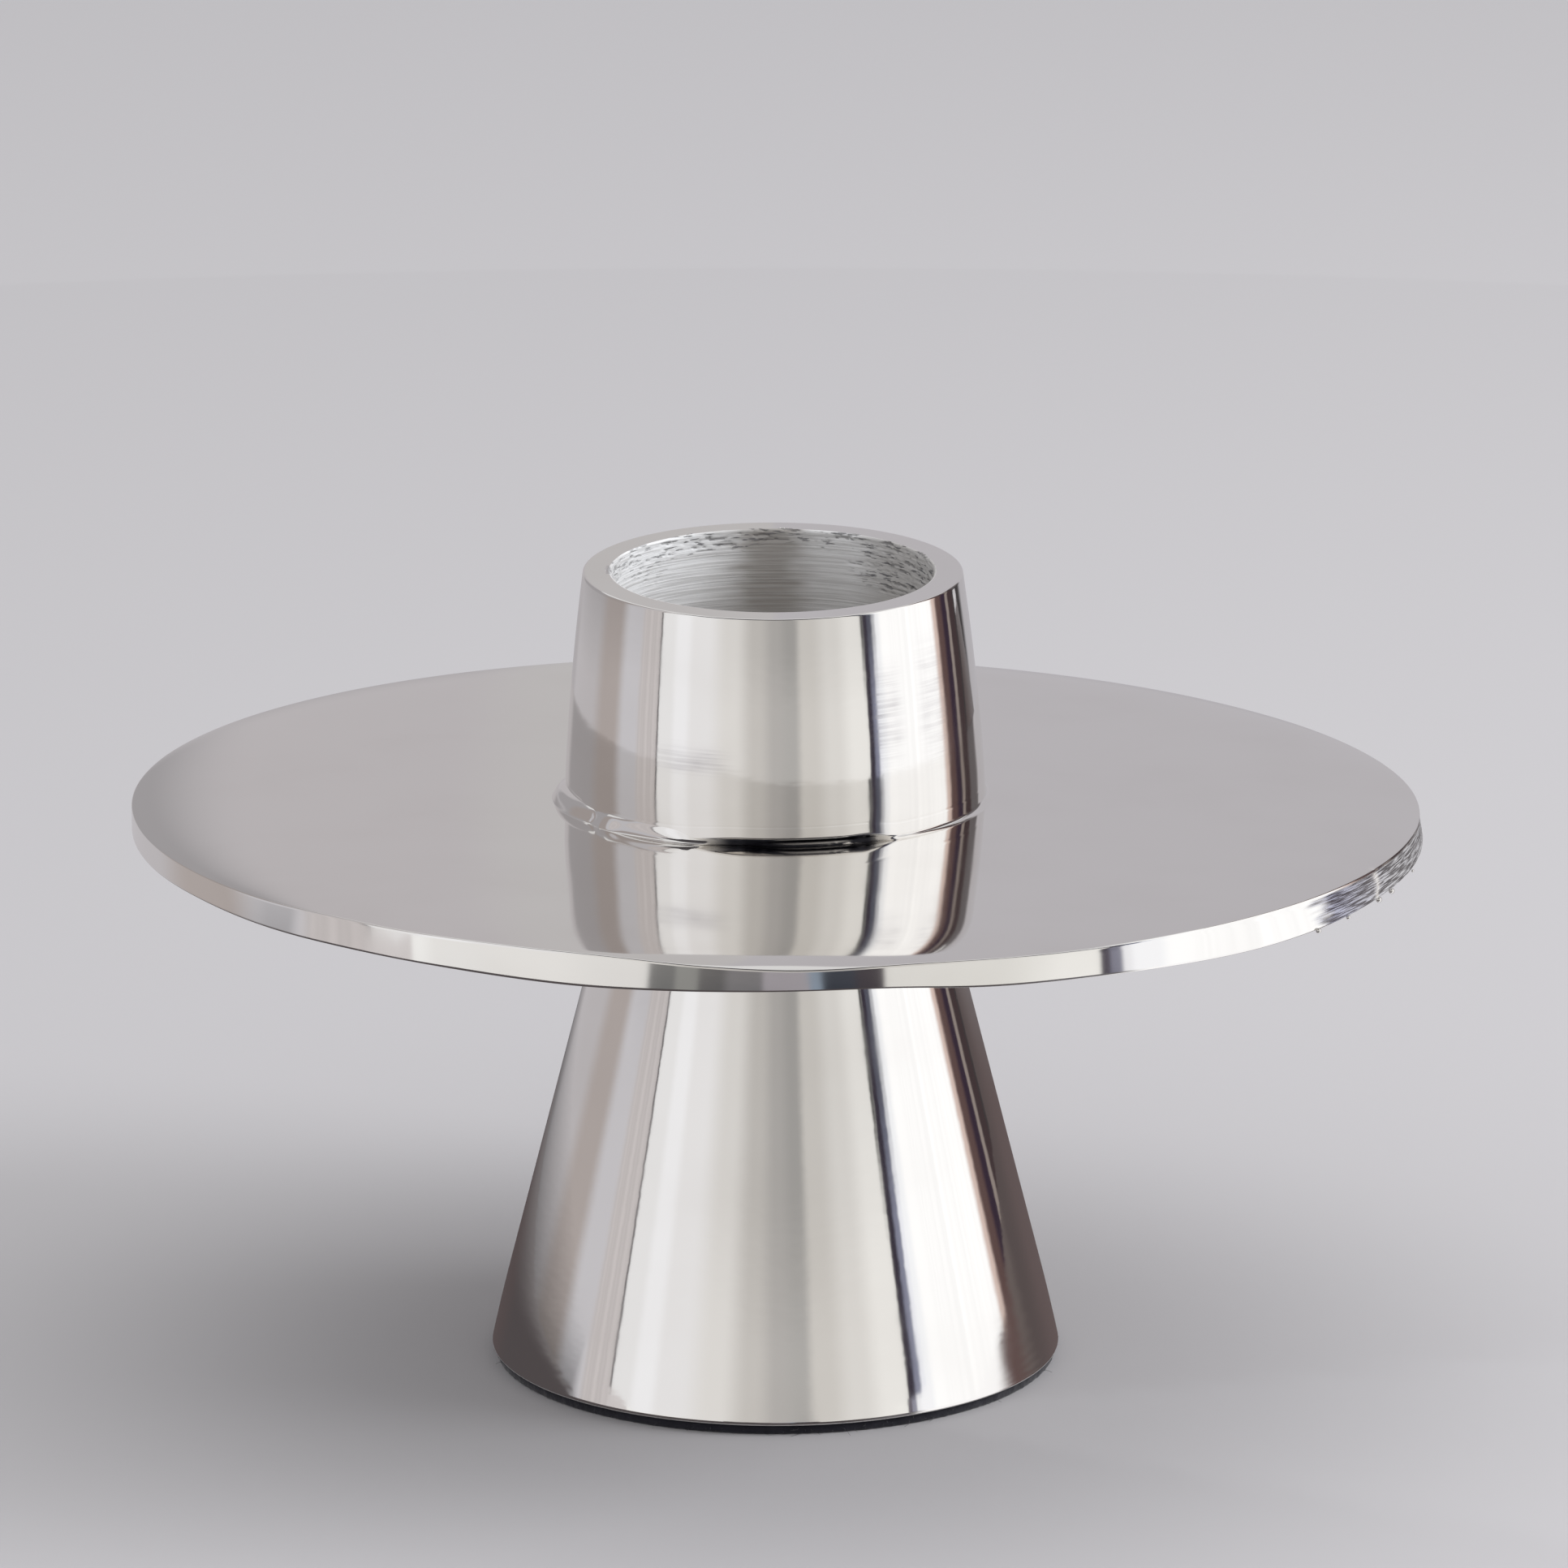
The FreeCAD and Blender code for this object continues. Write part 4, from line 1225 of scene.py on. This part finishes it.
upness = np.clip((points[:, 2] - CUP_BASE) / BEAD_CREST, 0, 1)
turned_radius = BEAD_TOP_RADIUS + (BEAD_OUTER - BEAD_TOP_RADIUS) * (1 - upness)
outness = np.clip((radii - BEAD_INNER) / (turned_radius - BEAD_INNER), 0, 1)
hollow_arc = 1 - np.sqrt(1 - (1 - upness) ** 2)
full_arc = np.sqrt(1 - upness ** 2)
outer_radius = top_radius + reach * (hollow_arc * (1 - fullness) + full_arc * fullness)
swelling = lumps(points, (0.12, 0.12, 0.15), 3) * 0.12 * bell(around, LOBE_AT, 10)
swelling += lumps(points, (0.5, 0.5, 0.5), 8) * 0.15 * bell(around, BLOB_AT, 3.5)
swelling += lumps(points, (0.2, 0.2, 0.25), 12) * 0.03
crease_wander = lumps(points, (0.3, 0.3, 0.6), 25) * 3
swelling -= 0.2 * bell(around + crease_wander, CREASE_AT, 1.2)
new_radii = BEAD_INNER + outness * (outer_radius + swelling - BEAD_INNER)
points[:, :2] *= (new_radii / radii)[:, None]
new_levels = CUP_BASE + (height + swelling * 0.5) * upness
points[:, 2] = np.where(upness > 0, new_levels, points[:, 2])
move_points(bead, points)
print("filler reaches", round(float(new_radii.max()), 2), "mm from the axis")

# %% Where the filler is painted dark as shade under the cup: in front, apart from a few flecks and one bright line
under_cup_shade = soft_stretch(around, -22, -12, 26, 33)
# the flecks and the line are left out of the painted shade, so the polished metal shows there
flecks = bell(around, 22, 5) * soft_step(lumps(points, (0.9, 0.9, 1.2), 40), 0.05, 0.3)
bright_line = bell(upness, 0.55, 0.14) * soft_stretch(around, -2, 6, 18, 22)
keep_on_points(bead, "under_cup_shade", np.clip(under_cup_shade - 1.5 * flecks - 0.8 * bright_line, 0, 1))

# %% Filler finish
FILLER_SHADE = (0.045, 0.045, 0.055, 1)
bead_finish, skin = polished_metal("filler_metal", (420, 420, 420), 3.0e-6, 4.0e-6)
# painted shade on the filler under the cup's front
darkness = from_points(skin, "under_cup_shade")
feed(skin.inputs["Base Color"], blended(darkness, fed_to(skin, "Base Color"), FILLER_SHADE))
roughen(skin, darkness, 0.35)
bead.data.materials.append(bead_finish)
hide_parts("cup_filler_bead")
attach(bead, "root")

# %% [markdown]
# ## The felt
# The foot stands on a disc of pressed black felt. It shows only as a thin line, but its cut
# edge is fuzzy, and a few loose fibres stick out of it. The disc is turned like the rest,
# its edge is roughened point by point, and the fibres are bent wisps of four thin sides.

# %% Turn the felt and roughen its edge
FELT_RADIUS, FELT_EDGE_ROUND = 45.9, 0.35
FELT_SEGMENTS = 720
felt_top = felt_high.z
felt_outline = [(0, 0)]
low_corner, high_corner = (FELT_RADIUS, 0), (FELT_RADIUS, felt_top)
felt_low_arc = rounded_corner((0, 0), low_corner, high_corner, FELT_EDGE_ROUND, 3)
felt_high_arc = rounded_corner(low_corner, high_corner, (0, felt_top), FELT_EDGE_ROUND, 3)
felt_outline += straight_run((0, 0), felt_low_arc[0], 8)[:-1] + felt_low_arc
felt_outline += straight_run(felt_low_arc[-1], felt_high_arc[0], 2)[:-1] + felt_high_arc
felt_outline += straight_run(felt_high_arc[-1], (0, felt_top), 8)
felt = turn_on_lathe("felt_disc", felt_outline, FELT_SEGMENTS)
points = points_of(felt)
radii, around = round_the_axis(points)
fuzz = lumps(points, (0.9, 0.9, 0.9), 3) * 0.10 + lumps(points, (2.6, 2.6, 2.6), 9) * 0.09
push_out(points, radii, (fuzz - 0.1) * soft_step(radii, 44, 45.5))
move_points(felt, points)

# %% Loose fibres: thin bent wisps round the edge, more of them in front
FIBRES, FIBRES_IN_FRONT = 150, 90
FIBRE_THICKNESS, FIBRE_ROOT = 0.035, 0.35      # its root is this far inside the felt
chance = random.Random(7)
fibres = []
for number in range(FIBRES):
    front = number < FIBRES_IN_FRONT
    direction = math.radians(chance.uniform(-50, 50) if front else chance.uniform(-180, 180))
    length = chance.uniform(0.5, 1.5) if chance.random() < 0.85 else chance.uniform(1.5, 3.0)
    start = Vector((math.sin(direction), -math.cos(direction), 0)) * (FELT_RADIUS - FIBRE_ROOT)
    start.z = chance.uniform(FIBRE_ROOT, felt_top - FIBRE_ROOT)
    heading = math.radians(chance.uniform(-75, 75)) + direction
    turn = math.radians(chance.uniform(-35, 35))
    clear_selection()
    bpy.ops.mesh.primitive_plane_add(size=FIBRE_THICKNESS * MM, location=start * MM,
                                     rotation=(math.radians(90), 0, heading))
    fibre = bpy.context.object
    bpy.ops.object.transform_apply(location=True, rotation=True, scale=True)
    bpy.ops.object.mode_set(mode="EDIT")
    bpy.ops.mesh.select_all(action="SELECT")
    level_now = start.z
    for step in range(3):
        move = Vector((math.sin(heading), -math.cos(heading), 0)) * length / 3
        move.z = max(0.1 - level_now, chance.uniform(-0.25, 0.22) * length / 3)
        level_now += move.z
        bpy.ops.mesh.extrude_region_move(TRANSFORM_OT_translate={"value": move * MM})
        heading += turn
    bpy.ops.mesh.select_all(action="SELECT")
    bpy.ops.mesh.normals_make_consistent(inside=False)
    bpy.ops.object.mode_set(mode="OBJECT")
    fibres.append(fibre)
join_to(felt, fibres)
print("felt faces with fibres", len(felt.data.polygons))

# %% Felt finish: black wool with a blue cast, and a nap of fine fibres
FELT_DARK, FELT_PALER = (0.006, 0.006, 0.010, 1), (0.022, 0.021, 0.030, 1)
felt_finish, skin = new_material("black_felt")
nap = stretched_noise(skin, (2600, 2600, 2600), 4)
tufts = stretched_noise(skin, (420, 420, 420), 3)
feed(skin.inputs["Base Color"], blended(tufts, FELT_DARK, FELT_PALER))
feed(skin.inputs["Roughness"], ranged(nap, 0.3, 0.7, 0.82, 1.0))
add_bumps(skin, (tufts, 1.2e-4), (nap, 5.0e-5))
skin.inputs["Sheen Weight"].default_value = 0.35
skin.inputs["Sheen Roughness"].default_value = 0.5
skin.inputs["Specular IOR Level"].default_value = 0.15
felt.data.materials.clear()
felt.data.materials.append(felt_finish)
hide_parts("base_felt")
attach(felt, "root")

# %% [markdown]
# ## The fasteners inside
# The tie rod, its washers and its nut are hidden in the foot, and the construction's own
# pieces have the right shapes, so they stay and only get a finish. Zinc plating is a bright
# grey with soft crystal-like clouds. The rod also gets its thread, as a fine even bump of
# one ridge for each millimetre and a quarter.

# %% Zinc plating
THREAD_PITCH, THREAD_DEPTH = 1.25, 0.4
WAVE_UNIT = math.tau / 20                  # the wave texture's length at a scale of one
ZINC_DARK, ZINC_PALE = (0.55, 0.56, 0.60, 1), (0.70, 0.71, 0.73, 1)


def zinc_plating(name, threaded):
    material, skin = new_material(name)
    skin.inputs["Metallic"].default_value = 1
    clouds = stretched_noise(skin, (350, 350, 350), 3)
    speckle = stretched_noise(skin, (2400, 2400, 2400), 2)
    feed(skin.inputs["Base Color"], blended(clouds, ZINC_DARK, ZINC_PALE))
    feed(skin.inputs["Roughness"], ranged(clouds, 0.3, 0.7, 0.24, 0.38))
    add_bumps(skin, (speckle, 6.0e-6))
    if threaded:
        ridges = add_node(skin, "TexWave")
        ridges.bands_direction = "Z"
        feed(ridges.inputs["Scale"], WAVE_UNIT / (THREAD_PITCH * MM))
        feed(ridges.inputs["Vector"], add_node(skin, "TexCoord").outputs["Object"])
        add_bumps(skin, (ridges.outputs["Fac"], THREAD_DEPTH * MM))
    return material


# %% Give the fasteners their finish
plain_zinc = zinc_plating("zinc_plated_steel", False)
threaded_zinc = zinc_plating("zinc_plated_thread", True)
for node, finish in (("tie_rod", threaded_zinc), ("flat_washer", plain_zinc),
                     ("spring_washer", plain_zinc), ("hex_nut", plain_zinc)):
    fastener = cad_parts[node]
    fastener.data.materials.clear()
    fastener.data.materials.append(finish)
    print(node, "plated")
